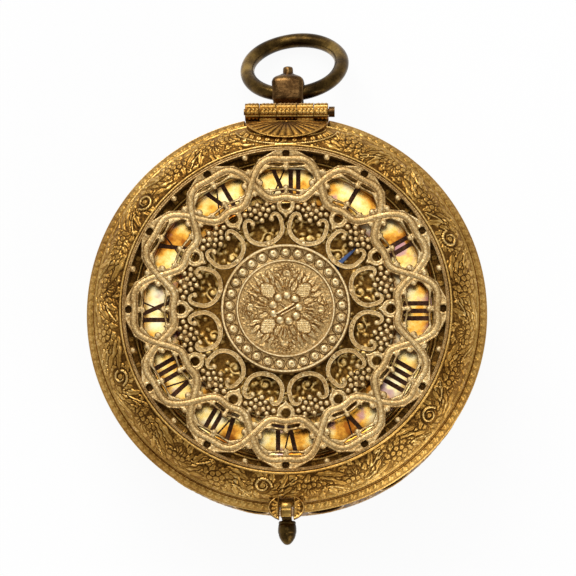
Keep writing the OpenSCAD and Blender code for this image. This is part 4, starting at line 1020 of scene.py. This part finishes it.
def makeDial():
    (r0, r1), z1 = dial["ring"], dial["face"]
    profile = [(r0, z1 - 0.1), (20.5, z1 + 0.08), (20.75, z1 + 0.08), (20.9, z1 - 0.04), (21.3, z1 - 0.01),
               (22.4, z1), (25.6, z1), (26.7, z1 - 0.01), (27.1, z1 - 0.04), (27.25, z1 + 0.08),
               (27.5, z1 + 0.08), (r1, z1 - 0.1), (r1, z1 - 0.4), (r0, z1 - 0.4)]
    # dark in the grooves at both edges of the ring, as painted shade and a painted reflection of the fret's edges
    tone = [0.3, 0.9, 0.9, 0.0, 0.4, 1, 1, 0.45, 0.0, 0.9, 0.9, 0.3, 0.3, 0.3]
    cols = 288
    piece("chapterRing", turned(profile, cols), quads(len(profile), cols, aroundRows=True), "movement",
          dialFinish, ["hour_ring"], np.repeat(tone, cols))
    sheet = Sheet(tau * 30.5, 5.5, 0.16, wraps=True)
    sheet.pit(7, 0.5, 0.06)
    for y, w, h in ((0.45, 0.3, 0.25), (1.05, 0.22, 0.22), (3.0, 0.25, 0.12), (5.1, 0.4, 0.2)):
        sheet.band(y, w, h)
    pitch = sheet.length / dial["leaves"]
    for n in range(dial["leaves"]):
        sheet.leaf(n * pitch, 1.4, tau / 4, 1.5, 1.0, 0.1, 2)
        sheet.berry((n + 0.5) * pitch, 3.8, 0.45, 0.1, 0.4)
    reliefRing("dialBorder", [(27.75, 26.52), (33.25, 26.52)], [(33.25, 26.36), (27.75, 26.36)], sheet, 0.25,
               "movement", chased)
    rng = random.Random(dial["seed"])
    field = Sheet(40.4, 40.4, 0.16, corner=(-20.2, -20.2))
    field.pit(9, 0.6, 0.10)
    for k in range(12):
        for r, size in ((18.6, 1.5), (16.6, 1.2), (14.4, 1.3), (10.4, 1.3)):
            a = 30 * k + rng.uniform(-4, 4) + (15 if r in (14.4, 18.6) else 0)
            x0, y0 = spin(r, a)
            curl = volute((x0, y0), size, size * 0.3, 90 - a + 90, 1.2 * (-1) ** k, 14)
            field.stem(curl, 0.34, 0.2)
            field.berry(x0, y0, size * 0.36, 0.25, 0.4)
            for n in range(6):
                t = tau * n / 6 + rng.uniform(-0.3, 0.3)
                field.leaf(x0 + size * math.cos(t), y0 + size * math.sin(t), t + 0.8, rng.uniform(0.9, 1.6),
                           0.7, 0.22, 3, rng.uniform(-0.3, 0.3))
    rows = np.arange(2.35, 20.25, 0.2)
    cols = 360
    angle = tau * np.arange(cols) / cols
    r = np.concatenate([rows, [20.3, 2.35]])[:, None]
    x, y = r * np.sin(angle), r * np.cos(angle)
    z = np.full(x.shape, 26.52)
    z[-2:] = 26.42
    tone = np.full(x.shape, 0.3)
    n = len(rows)
    z[:n] += field.at(field.high, x[:n], y[:n])
    tone[:n] = 1.35 * field.at(field.surfaceTone(0.22), x[:n], y[:n]) - 0.02
    piece("dialCentre", np.stack([x, y, z], -1).reshape(-1, 3), quads(len(r), cols, aroundRows=True), "movement",
          chased, ["dial_centre"], tone)


makeDial()
print("dial made")


# the hinge, its strap and the plate of the catch

strap = {"middle": 36.45, "wide": 7.95, "deep": 3.8, "ribs": 14, "height": 0.32}
hinge = {"y": 38.4, "z": 24.6, "knuckle": 1.72, "bore": 0.68, "relief": 0.12,
         "leafHigh": 18.6, "leafDeep": (36.5, 38.7)}
catchPlate = {"middle": -37.35, "wide": 3.5, "deep": 2.55, "slot": 1.35, "top": 27.12, "bottom": 26.0,
              "height": 0.3}
catch = {"tongue": 2.08, "shank": 1.86, "axis": 20.3}


def dome(x, y, a=8.1, b=8.4):  # height of the lid's shoulder
    r = np.hypot(x, y)
    return 22.5 + b * np.sqrt(np.clip(1 - ((np.maximum(r, 29.5) - 29.5) / a)**2, 0.01, 1))


def makeStrap():
    rows, cols = 34, 150
    t = np.linspace(0, 1, rows)[:, None]
    phi = np.radians(np.linspace(180, 360, cols))[None, :]
    x, y = strap["wide"] * t * np.cos(phi), strap["middle"] + strap["deep"] * t * np.sin(phi)
    ribs = np.abs(np.sin(phi * strap["ribs"]))**0.6
    lift = strap["height"] * ribs * np.clip(t * 2.5 - 0.2, 0, 1) * (t < 0.9)
    edge = np.maximum(t, 1 - (strap["middle"] - y) / 2.5)
    lift = np.maximum(lift, strap["height"] * np.clip(1 - ((edge - 0.95) / 0.05)**2, 0, 1)**0.5)
    z = dome(x, y) + lift
    z[-1] = (dome(x, y, 7.6, 7.9) - 0.1)[-1]
    # darkest between the ribs, as patina and painted shade; lighter on the ribs, with a painted highlight on the
    # raised edge line
    tone = np.clip(0.04 + lift / 0.36 * 0.52 + 0.2 * (edge > 0.9), 0, 1)
    top = np.stack([x, y, z], -1)
    under = np.stack([x, y, dome(x, y, 7.6, 7.9) - 0.12], -1)
    points = np.concatenate([top.reshape(-1, 3), under.reshape(-1, 3)])
    n = rows * cols
    faces = quads(rows, cols, aroundCols=False)
    faces += [f[::-1] for f in quads(rows, cols, aroundCols=False, first=n)]
    left = [r * cols for r in range(rows)]
    right = [r * cols + cols - 1 for r in range(rows)]
    outer = [(rows - 1) * cols + c for c in range(cols)]
    for line in (left, outer, right):
        for p, q in zip(line, line[1:]):
            face = [p, q, q + n, p + n]
            faces.append(face if line is left else face[::-1])
    faces += [[c, c + 1, c + 1 + n, c + n][::-1] for c in range(cols - 1)]
    tones = np.concatenate([tone.ravel() + 0 * z.ravel(), np.full(n, 0.3)])
    facedOut(piece("hingeStrap", points, faces, "lid", chased, [], tones), 1e-6)


def barrel(name, x0, x1, body, seed, hides):  # one knuckle of the hinge, turned round X
    r, length, yPin, zPin = hinge["knuckle"], x1 - x0, hinge["y"], hinge["z"]
    sheet = Sheet(tau * r, length, 0.11, wraps=True)
    sheet.pit(seed, 0.3, 0.05)
    strip = sheet.length / 5
    for k in range(5):
        sheet.stem([((k + 0.5) * strip, 0.1), ((k + 0.5) * strip, length - 0.1)], 0.26, 0.12)
        for y in np.arange(0.5, length - 0.3, 0.72):
            sheet.leaf(k * strip - 0.75, y, 0.35, 1.3, 0.6, 0.13, 1)
            sheet.berry(k * strip + 0.3, y + 0.36, 0.24, 0.13)
    cols = sheet.high.shape[1]
    along = np.linspace(x0, x1, sheet.ny)
    a = tau * np.arange(cols) / cols
    depth = r - hinge["relief"] + sheet.high
    y = yPin + depth * np.sin(a)
    z = zPin + depth * np.cos(a)
    x = along[:, None] + 0 * a
    bore = [np.stack([np.full(cols, end), yPin + hinge["bore"] * np.sin(a), zPin + hinge["bore"] * np.cos(a)], -1)
            for end in (x1, x0)]
    points = np.concatenate([np.stack([x, y, z], -1).reshape(-1, 3), *bore])
    faces = [f[::-1] for f in quads(sheet.ny + 2, cols, aroundRows=True)]
    tone = np.concatenate([0.2 + 0.7 * sheet.surfaceTone(0.14).ravel(), np.full(2 * cols, 0.3)])
    return piece(name, points, faces, body, chased, hides, tone)


def leafBlock(kit, box):  # a block of the hinge with a rounded upper edge
    (x0, y0, z0), (x1, y1, z1) = box
    soft = min(0.25, (y1 - y0) / 3)
    section = [(y0, z0), (y1, z0), (y1, z1 - soft), (y1 - soft * 0.3, z1 - soft * 0.3), (y1 - soft, z1),
               (y0 + soft, z1), (y0 + soft * 0.3, z1 - soft * 0.3), (y0, z1 - soft)]
    points = np.array([(x, y, z) for x in (x0, x0 + 0.08, x1 - 0.08, x1) for y, z in section])
    middle = np.array([(x0 + x1) / 2, (y0 + y1) / 2, (z0 + z1) / 2])
    ends = np.repeat([True, False, False, True], len(section))
    points[ends, 1:] += np.sign(middle[1:] - points[ends, 1:]) * 0.06
    kit.take(points, quads(4, len(section)) + caps(4, len(section)), 0.6)


def makeHinge():
    # ends along X, body, nodes that the knuckle replaces (None has no knuckle), and blocks as (y, z) corners
    y0, y1 = hinge["leafDeep"]
    foot, neck = ((y0, hinge["leafHigh"]), (y1, 22.6)), ((37.0, 22.4), (39.4, 24.6))
    onLid, onMovement = ((36.3, 24.75), (38.4, 25.5)), ((33.2, 22.95), (38.4, 23.85))
    knuckles = {"CaseLeft": (-7.85, -5.2, "case", ["case_hinge_leaf"], (foot, neck)),
                "CaseRight": (5.2, 7.85, "case", [], (foot, neck)),
                "LidLeft": (-5.1, -2.0, "lid", ["lid_hinge_leaf"], (onLid,)),
                "LidRight": (2.0, 5.1, "lid", [], (onLid,)),
                "Middle": (-1.9, 1.9, "movement", ["movement_hinge_leaf"], (onMovement,)),
                "Case": (-5.25, 5.25, "case", None, (foot,))}
    for name, (x0, x1, body, hides, blocks) in knuckles.items():
        if hides is not None:
            barrel("hinge" + name, x0, x1, body, 31 + int(x1), hides)
        kit = Kit()
        for low, high in blocks:
            leafBlock(kit, ((x0, *low), (x1, *high)))
        kit.made("hinge" + name + "Leaf", body, chased, smooth=False)


def makeCatchPlate():
    mid, wide, deep, h = (catchPlate[key] for key in ("middle", "wide", "deep", "height"))
    plate = Plate(np.arange(-3.6, 3.61, 0.12), np.arange(-40.0, -34.7, 0.12))
    plate.solid = (1 - np.hypot(plate.x / wide, (plate.y - mid) / deep)) * 2.6
    slot = np.maximum(np.abs(plate.x) - catchPlate["slot"], plate.y + 35.5)
    plate.solid = np.minimum(plate.solid, slot)
    sheet = Sheet(8, 6, 0.1, corner=(-4, -40.3))
    sheet.pit(4, 0.3, 0.06)
    for side in (-1, 1):
        for n in range(5):
            sheet.leaf(side * 1.45, -36.9 - 0.35 * n, math.radians(90 - side * (50 + 22 * n)), 1.8, 0.55, 0.28, 2)
        sheet.stem(np.array([(side * 1.5, -35.2), (side * 1.55, -39.2)]), 0.22, 0.3)
    t = np.radians(np.arange(0, 361, 6))
    sheet.stem(np.stack([3.28 * np.cos(t), mid + 2.33 * np.sin(t)], 1), 0.35, 0.32)
    z = catchPlate["top"] + sheet.at(sheet.high, plate.x, plate.y)
    top, bottom = (np.stack([plate.x, plate.y, level], -1) for level in (z, catchPlate["bottom"] + 0 * z))
    points, faces, tone = plate.skin(top, bottom, sheet.at(sheet.surfaceTone(h), plate.x, plate.y))
    piece("catchPlate", points, faces, "lid", chased, ["lid_catch_plate"], tone)


def makeCatch():
    kit = Kit()
    y = [-36.45, -36.6, -37.1, -37.65, -37.75, -37.85, -38.5, -38.95, -39.2]
    top = [27.6, 27.85, 28.02, 28.1, 28.02, 28.08, 27.95, 27.6, 26.9]
    kit.strand([(0, v) for v in y], catch["tongue"], [27.46] * 6 + [27.2, 26.6, 26.0], top,
               [(1, 0), (1, 0.55), (0.8, 1), (-0.8, 1), (-1, 0.55), (-1, 0)], (0.4, 0.95))
    kit.strand([(0, -38.25), (0, -38.75), (0, -39.2)], catch["shank"], 19.5, 27.3,
               [(1, 0), (1, 1), (-1, 1), (-1, 0)], (0.5, 0.8))
    kit.made("catchTongue", "catch", smoothGilt, ["catch"], smooth=False)
    acorn = [(0.05, 34.6), (0.8, 34.6), (0.8, 39.1), (1.5, 39.2), (1.64, 39.4), (1.64, 39.65), (1.56, 39.75),
             (1.66, 39.9), (1.74, 40.5), (1.76, 41.1), (1.7, 41.5), (1.6, 41.62), (1.64, 41.75), (1.45, 42.35),
             (1.1, 42.95), (0.7, 43.4), (0.42, 43.6), (0.05, 43.68)]
    kit = Kit()
    kit.spun(0, 0, acorn, 40, 0.6, closed=False)
    thing = kit.made("catchKnob", None, bronze)
    thing.data.transform(Matrix(((1, 0, 0, 0), (0, 0, -1, 0), (0, 1, 0, catch["axis"] * mm), (0, 0, 0, 1))))
    settle(thing, "catch")


for make in (makeStrap, makeHinge, makeCatchPlate, makeCatch):
    make()
print("hinge and catch made")


# pendant and bow

knob = {"line": [(2.9, 36.9), (3.2, 37.2), (3.15, 37.7), (2.4, 38.2), (1.95, 38.9), (1.95, 39.8), (2.4, 40.5),
                 (3.0, 41.2), (3.35, 42.1), (3.42, 43.2), (3.42, 44.6), (3.36, 45.6), (3.05, 46.2), (2.3, 46.7),
                 (1.4, 47.1), (0.98, 47.3), (0.95, 48.1), (0.85, 48.45), (0.45, 48.6), (0.05, 48.62)],
        "drill": [(3.05, -3.9), (1.82, -0.3), (1.82, 0.3), (3.05, 3.9)], "hole": (0, 43.3, 14.5), "cols": 72}
bow = {"ring": 9, "wire": 1.345, "tip": -8.6, "turn": -0.7, "lean": -46.8}


def turnBy(degrees, axis):
    return Matrix.Rotation(math.radians(degrees), 4, axis)


def makePendant():
    line, cols = resampled(knob["line"], 0.22), knob["cols"]
    a = tau * np.arange(cols) / cols
    r, y = line[:, 0, None], line[:, 1, None] + 0 * a
    square = np.clip((r - 2.2) / 0.8, 0, 1) * np.clip((y - 40.0) / 1.2, 0, 1)
    power = 2 + 6 * square
    shape = (np.abs(np.cos(a))**power + np.abs(np.sin(a))**power)**(-1 / power)
    r = r * (1 + (shape - 1) * 0.8) / (1 + 0.07 * square)
    r = r * (1 + 0.006 * np.sin(3 * a + y) + 0.004 * np.sin(7 * a - 2 * y))
    points = np.stack([r * np.cos(a), y, knob["hole"][2] + r * np.sin(a)], -1).reshape(-1, 3)
    faces = [f[::-1] for f in quads(len(line), cols) + caps(len(line), cols)]
    thing = piece("pendantKnob", points, faces, None, knobGilt)
    kit = Kit()
    kit.spun(0, 0, knob["drill"], 48, 0.2, closed=False)
    drill = kit.made("drill", None, knobGilt)
    drill.data.transform(Matrix.Translation([v * mm for v in knob["hole"]]) @ turnBy(90, "Y"))
    for each in (thing, drill):
        facedOut(each)
    modifier = thing.modifiers.new("drilled", "BOOLEAN")
    modifier.object, modifier.operation, modifier.solver = drill, "DIFFERENCE", "EXACT"
    applied(thing, modifier)
    bpy.data.objects.remove(drill)
    settle(thing, "case", ["pendant"])


def makeBow():
    n, m = 200, 40
    t, s = tau * np.arange(n)[:, None] / n, tau * np.arange(m)[None, :] / m
    wire = bow["wire"] + 0.02 * np.sin(5 * t + 1) + 0.015 * np.sin(3 * s + 4 * t)
    r = bow["ring"] + wire * np.cos(s)
    points = np.stack([r * np.cos(t), r * np.sin(t), wire * np.sin(s)], -1).reshape(-1, 3)
    thing = piece("bowRing", points, quads(n, m, aroundRows=True), None, bronze)
    thing.data.transform(Matrix.Translation(Vector(knob["hole"]) * mm) @ turnBy(bow["tip"], "Y")
                         @ turnBy(bow["turn"], "Z") @ turnBy(bow["lean"], "X")
                         @ Matrix.Translation((0, bow["ring"] * mm, 0)))
    settle(thing, "bow", ["bow"])


makePendant()
makeBow()
print("pendant and bow made")
# the side and the back of the case

side = {"sectors": 16, "height": 0.26, "leaves": 144, "radius": 36.6, "low": 6.6, "high": 17.8, "inner": 35.45,
        "opening": {"middle": 12.2, "wide": 3.4, "high": 4.4, "swell": 0.12},
        "foot": {"leaves": 150, "height": 0.18}}
backFace = {"height": 0.2, "leaves": 120, "scrolls": 24, "seed": 29}


def length(line):
    return np.hypot(*np.diff(np.array(line), axis=0).T).sum()


def makeSwelling():
    line = [(36.36, 23.96), (36.45, 23.86), (37.0, 23.55), (37.5, 23.1), (37.72, 22.7), (37.74, 22.2),
            (37.55, 21.4), (37.1, 20.6), (36.7, 19.9), (36.42, 19.4), (36.42, 17.8)]
    sheet = Sheet(tau * 37.4, length(line), 0.14, wraps=True)
    h = side["height"]
    sheet.pit(17, 0.4, 0.06)
    pitch = sheet.length / side["leaves"]
    for k in range(side["leaves"]):
        x = k * pitch
        sheet.leaf(x, 0.45, math.radians(60), 1.4, pitch * 0.8, h * 0.5, 2)
        sheet.leaf(x, 2.75, math.radians(78), 2.0, pitch * 0.85, h * 0.7, 2)
        sheet.stem([(x - pitch / 2, 5.3), (x, 6.1), (x + pitch / 2, 5.3)], 0.3, h * 0.7)
    for y, width in ((0.25, 0.2), (1.95, 0.22), (2.4, 0.2), (4.95, 0.3), (6.75, 0.4)):
        sheet.band(y, width, h * 0.6)
    back = [(side["inner"], side["high"]), (side["inner"], 23.94)]
    thing = reliefRing("sideSwelling", line, back, sheet, h, "case", chased, ["case_band"])

    def share(x, y, z):  # room for the catch and for the hinge
        high, r = z > 18.4, np.hypot(x, y)
        forCatch = (np.abs(x) < 1.45) & (y < 0) & high
        forHinge = (np.abs(x) < 8) & (y > 0) & high
        return np.where(forCatch, 36.85 / np.maximum(np.abs(y), 1), np.where(forHinge, 36.45 / r, 1))

    pressIn(thing, share)
    # lighter towards the top of the swelling
    brightenTone(thing, lambda x, y, z: 0.45 * np.clip((z - 21.5) / 1.0, 0, 1))


def makeWall():  # one sector with its opening, repeated round the case
    h, low, high, hole = side["height"], side["low"], side["high"], side["opening"]
    middle, width, height, swell = (hole[key] for key in ("middle", "wide", "high", "swell"))
    arc = tau * side["radius"] / side["sectors"]
    sheet = Sheet(arc, round(high - low, 3), 0.12, corner=(-arc / 2, low))
    sheet.pit(19, 0.4, 0.05)
    t = np.radians(np.arange(0, 361, 6))
    leaf = np.stack([width * np.sin(t) * (1 + swell * np.cos(2 * t)), middle + height * np.cos(t)], 1)
    sheet.stem((leaf - (0, middle)) * 1.13 + (0, middle), 0.42, h * 0.9)
    for flip in (-1, 1):
        stem = bent((flip * arc / 2, 7.2), (flip * 5.4, 9.2), (flip * 5.9, middle), (flip * 5.0, 15.0),
                    (flip * arc / 2, 17.0))
        sheet.stem(stem, 0.36, h * 0.8)
        for x, y in stem[2:-2:3]:
            for out in (-1, 1):
                sheet.leaf(x, y, math.radians(90 + flip * out * 55), 1.5, 0.7, h * 0.85, 3, 0.2 * out)
        sheet.berry(flip * 3.2, 7.7, 0.5, h, 0.4)
        sheet.berry(flip * 3.4, 16.6, 0.5, h, 0.4)
        sheet.leaf(flip * 1.0, 17.2, math.radians(-90 + flip * 40), 1.7, 0.7, h * 0.8, 2)
        sheet.leaf(flip * 1.2, 7.1, math.radians(90 - flip * 40), 1.6, 0.7, h * 0.8, 2)

    plate = Plate(np.linspace(-arc / 2, arc / 2, 61), np.linspace(low, high, 48))
    u, v = plate.x, plate.y
    way = np.arctan2(u / width, (v - middle) / height)
    edge = np.hypot(u / width, (v - middle) / height) - (1 + swell * np.cos(2 * way) * np.abs(np.sin(way)))
    plate.solid = edge * 3.0
    lift = sheet.at(sheet.high, u, v) * np.clip((arc / 2 - np.abs(u)) / 0.4, 0, 1)

    def wrap(depth):
        return np.stack([depth * np.sin(u / side["radius"]), depth * np.cos(u / side["radius"]), v], -1)

    points, faces, tone = plate.skin(wrap(36.42 + lift), wrap(side["inner"] + 0 * u),
                                     sheet.at(sheet.surfaceTone(h), u, v), seams=True)
    wall = piece("sideWall", points, [f[::-1] for f in faces], None, chased, [], tone)
    wall.data.transform(Matrix.Rotation(-math.radians(180 / side["sectors"]), 4, "Z"))
    grow(wall, repeatRound, Count=side["sectors"], Finish=chased)
    settle(wall, "case")


def makeFoot():
    count, h = side["foot"]["leaves"], side["foot"]["height"]
    line = [(36.4, 6.75), (36.32, 6.5), (36.2, 6.0), (36.2, 4.7), (36.1, 4.05)]
    sheet = Sheet(tau * 36.3, length(line), 0.15, wraps=True)
    for k in range(count):
        sheet.leaf(k * sheet.length / count, 0.5, math.radians(62), length(line) * 0.75, 1.2, h, 1)
    reliefRing("sideFoot", line, [(side["inner"], 4.05), (side["inner"], 6.75)], sheet, h, "case", chased)
    lathe("sideLedge", [(33.8, 22.9), (35.5, 22.9), (35.5, 21.3), (35.4, 21.3), (33.8, 22.4)], "case",
          smoothGilt, 240)


def makeBackPlate():
    # rows run from the side wall down and in, so that the relief faces away from the case
    line = np.concatenate([oval(28.6, 4.0, 7.45, 3.78, 0, -90, 30), [(27.5, 0.22), (1.0, 0.22)]])
    sheet = Sheet(tau * 31, 13.5, 0.17, wraps=True)
    sheet.pit(23, 0.5, 0.05)
    h = backFace["height"]
    sheet.groove = 0.05
    foliage(sheet, h * 0.95, 1.3, 8.7, backFace["scrolls"], backFace["seed"])
    sheet.groove = 0.0
    for y, w in ((0.5, 0.4), (1.0, 0.25), (9.2, 0.4), (9.8, 0.25), (13.0, 0.3)):
        sheet.band(y, w, h * 0.7)
    for k in range(backFace["leaves"]):
        sheet.leaf(k * sheet.length / backFace["leaves"], 10.3, tau / 4, 2.3, 1.3, h * 0.8, 2)
    front = resampled(line, 0.17)[:sheet.ny]
    rest = float(front[-1][0])
    inner = [(r, 0.16) for r in np.arange(rest - 0.3, 1.2, -0.8)]
    back = [(1.0, 0.16), (1.0, 1.15), (28.6, 1.15), *oval(28.6, 4.0, 6.7, 2.85, -90, 0, 12)]
    reliefRing("backPlate", line, inner + back, sheet, h, "case", chased, ["case_back"])
    lathe("backBoss", [(0.02, 0.02), (0.02, 0.9), (2.6, 0.9), (2.6, 0.02)], "case", smoothGilt, 48)


for make in (makeSwelling, makeWall, makeFoot, makeBackPlate):
    make()
print("case made")


# finishes of the pieces that stay as they come from the CAD

def steelFinish(name, look):
    b = Finish(name)
    cloud = b.noise(0.35, 3.0, 0.6)
    fine = b.brushed(look["brush"], 3.0)
    rough = (look["rough"] + (fine - 0.5) * 0.25 + (cloud - 0.5) * 0.2).held(0.06, 0.9)
    return b.metal(b.mixed(cloud * look["blotch"], look["bright"], look["dark"]), rough, fine, 0.02)


steel = steelFinish("workedSteel", {"brush": (1.0, 6.0, 1.0), "blotch": 0.7, "rough": 0.34,
                                    "bright": (0.50, 0.48, 0.45), "dark": (0.16, 0.12, 0.09)})
blued = steelFinish("bluedSteel", {"brush": (2.0, 2.0, 2.0), "blotch": 0.6, "rough": 0.26,
                                   "bright": (0.055, 0.085, 0.17), "dark": (0.015, 0.02, 0.05)})


def waxFinish(name, look):
    b = Finish(name)
    lump = b.noise(2.0, 3.0, 0.6)
    colour = b.mixed(lump.between(0.35, 0.7), look["dark"], look["light"])
    return b.metal(colour, (lump * 0.3 + look["rough"]).held(), lump, 0.05, 0.0, {"Specular IOR Level": 0.1})


wax = waxFinish("blackWax", {"dark": (0.045, 0.017, 0.008), "light": (0.14, 0.055, 0.022), "rough": 0.45})
plain = {"dark_bronze": bronze, "steel": steel, "blued_steel": blued, "black_wax": wax}
slotOf = {entry["node"]: entry["material_slot"] for entry in frame["record"]["subparts"]}
for name, thing in frame["nodes"].items():
    finish = knobGilt if name == "hinge_pin" else plain.get(slotOf.get(name), smoothGilt)
    for k in range(len(thing.data.materials)):
        thing.data.materials[k] = finish
print("finishes given to the CAD pieces")
# floor, light and camera

studio = {"lens": 1322.7, "distance": 4.0, "aim": (0.3, 4.56, 26), "toward": (0.027, -0.139, 0.99),
          "world": 0.75, "horizon": 0.95, "zenith": 0.5, "paper": 0.92, "fibre": 0.88, "shine": 0.93,
          "lampAim": (0, 0.005, 0.02),
          "lamps": {"key": ((-0.24, 0.70, 0.66), 0.6, 5.9), "over": ((0.02, 0.30, 0.85), 0.5, 1.2),
                    "fill": ((0.45, -0.5, 0.3), 0.5, 1.8)}}


def linked(thing):
    bpy.context.scene.collection.objects.link(thing)
    return thing


def makeFloor():
    bpy.ops.mesh.primitive_plane_add(size=4, location=(0, 0, 0))
    floor = bpy.context.object
    floor.name = "floor"
    b = Finish("paper")
    tint = b.mixed(b.noise(0.02, 2.0, 0.5) * 0.02, (studio["paper"],) * 3, (studio["fibre"],) * 3)
    paper = b.add("ShaderNodeBsdfDiffuse", {}, {"Color": tint, "Roughness": 0.5})
    shine = b.add("ShaderNodeEmission", {}, {"Color": (1, 1, 1, 1), "Strength": 1.0})
    seen = b.add("ShaderNodeLightPath", out="Is Camera Ray") + b.add("ShaderNodeLightPath", out="Is Glossy Ray")
    both = b.add("ShaderNodeMixShader", {}, {0: seen * studio["shine"], 1: paper, 2: shine})
    b.add("ShaderNodeOutputMaterial", {}, {"Surface": both})
    floor.data.materials.append(b.material)


def makeWorld():  # white to the camera, and a soft grey sky in the reflections
    world = bpy.data.worlds.new("studio")
    bpy.context.scene.world = world
    world.use_nodes = True
    b = Bench(world.node_tree)
    way = b.add("ShaderNodeTexCoord", out="Generated")
    height = b.add("ShaderNodeSeparateXYZ", {}, {0: way}, "Z")
    sky = b.add("ShaderNodeValToRGB", {"stops": [(0.0, (studio["horizon"],) * 3), (0.9, (studio["zenith"],) * 3)]},
                {0: height})
    light = b.add("ShaderNodeBackground", {}, {"Color": sky, "Strength": studio["world"]})
    white = b.add("ShaderNodeBackground", {}, {"Color": (1, 1, 1, 1)})
    seen = b.add("ShaderNodeLightPath", out="Is Camera Ray")
    both = b.add("ShaderNodeMixShader", {}, {0: seen, 1: light, 2: white})
    b.add("ShaderNodeOutputWorld", {}, {"Surface": both})


def makeLamps():
    for name, (place, size, energy) in studio["lamps"].items():
        lamp = bpy.data.lights.new(name, "AREA")
        lamp.energy, lamp.size = energy, size
        thing = linked(bpy.data.objects.new(name, lamp))
        thing.location = place
        thing.rotation_euler = (Vector(studio["lampAim"]) - Vector(place)).to_track_quat("-Z", "Y").to_euler()


def makeCamera():
    camera = bpy.data.cameras.new("camera")
    camera.lens, camera.sensor_width = studio["lens"], 36
    thing = linked(bpy.data.objects.new("camera", camera))
    toward = Vector(studio["toward"]).normalized()
    thing.location = Vector(studio["aim"]) * mm + toward * studio["distance"]
    right = Vector((0, 1, 0)).cross(toward).normalized()
    thing.rotation_euler = Matrix((right, toward.cross(right), toward)).transposed().to_euler()
    bpy.context.scene.camera = thing
    bpy.context.scene.view_settings.view_transform = "Standard"


for make in (makeFloor, makeWorld, makeLamps, makeCamera):
    make()
print("studio ready")
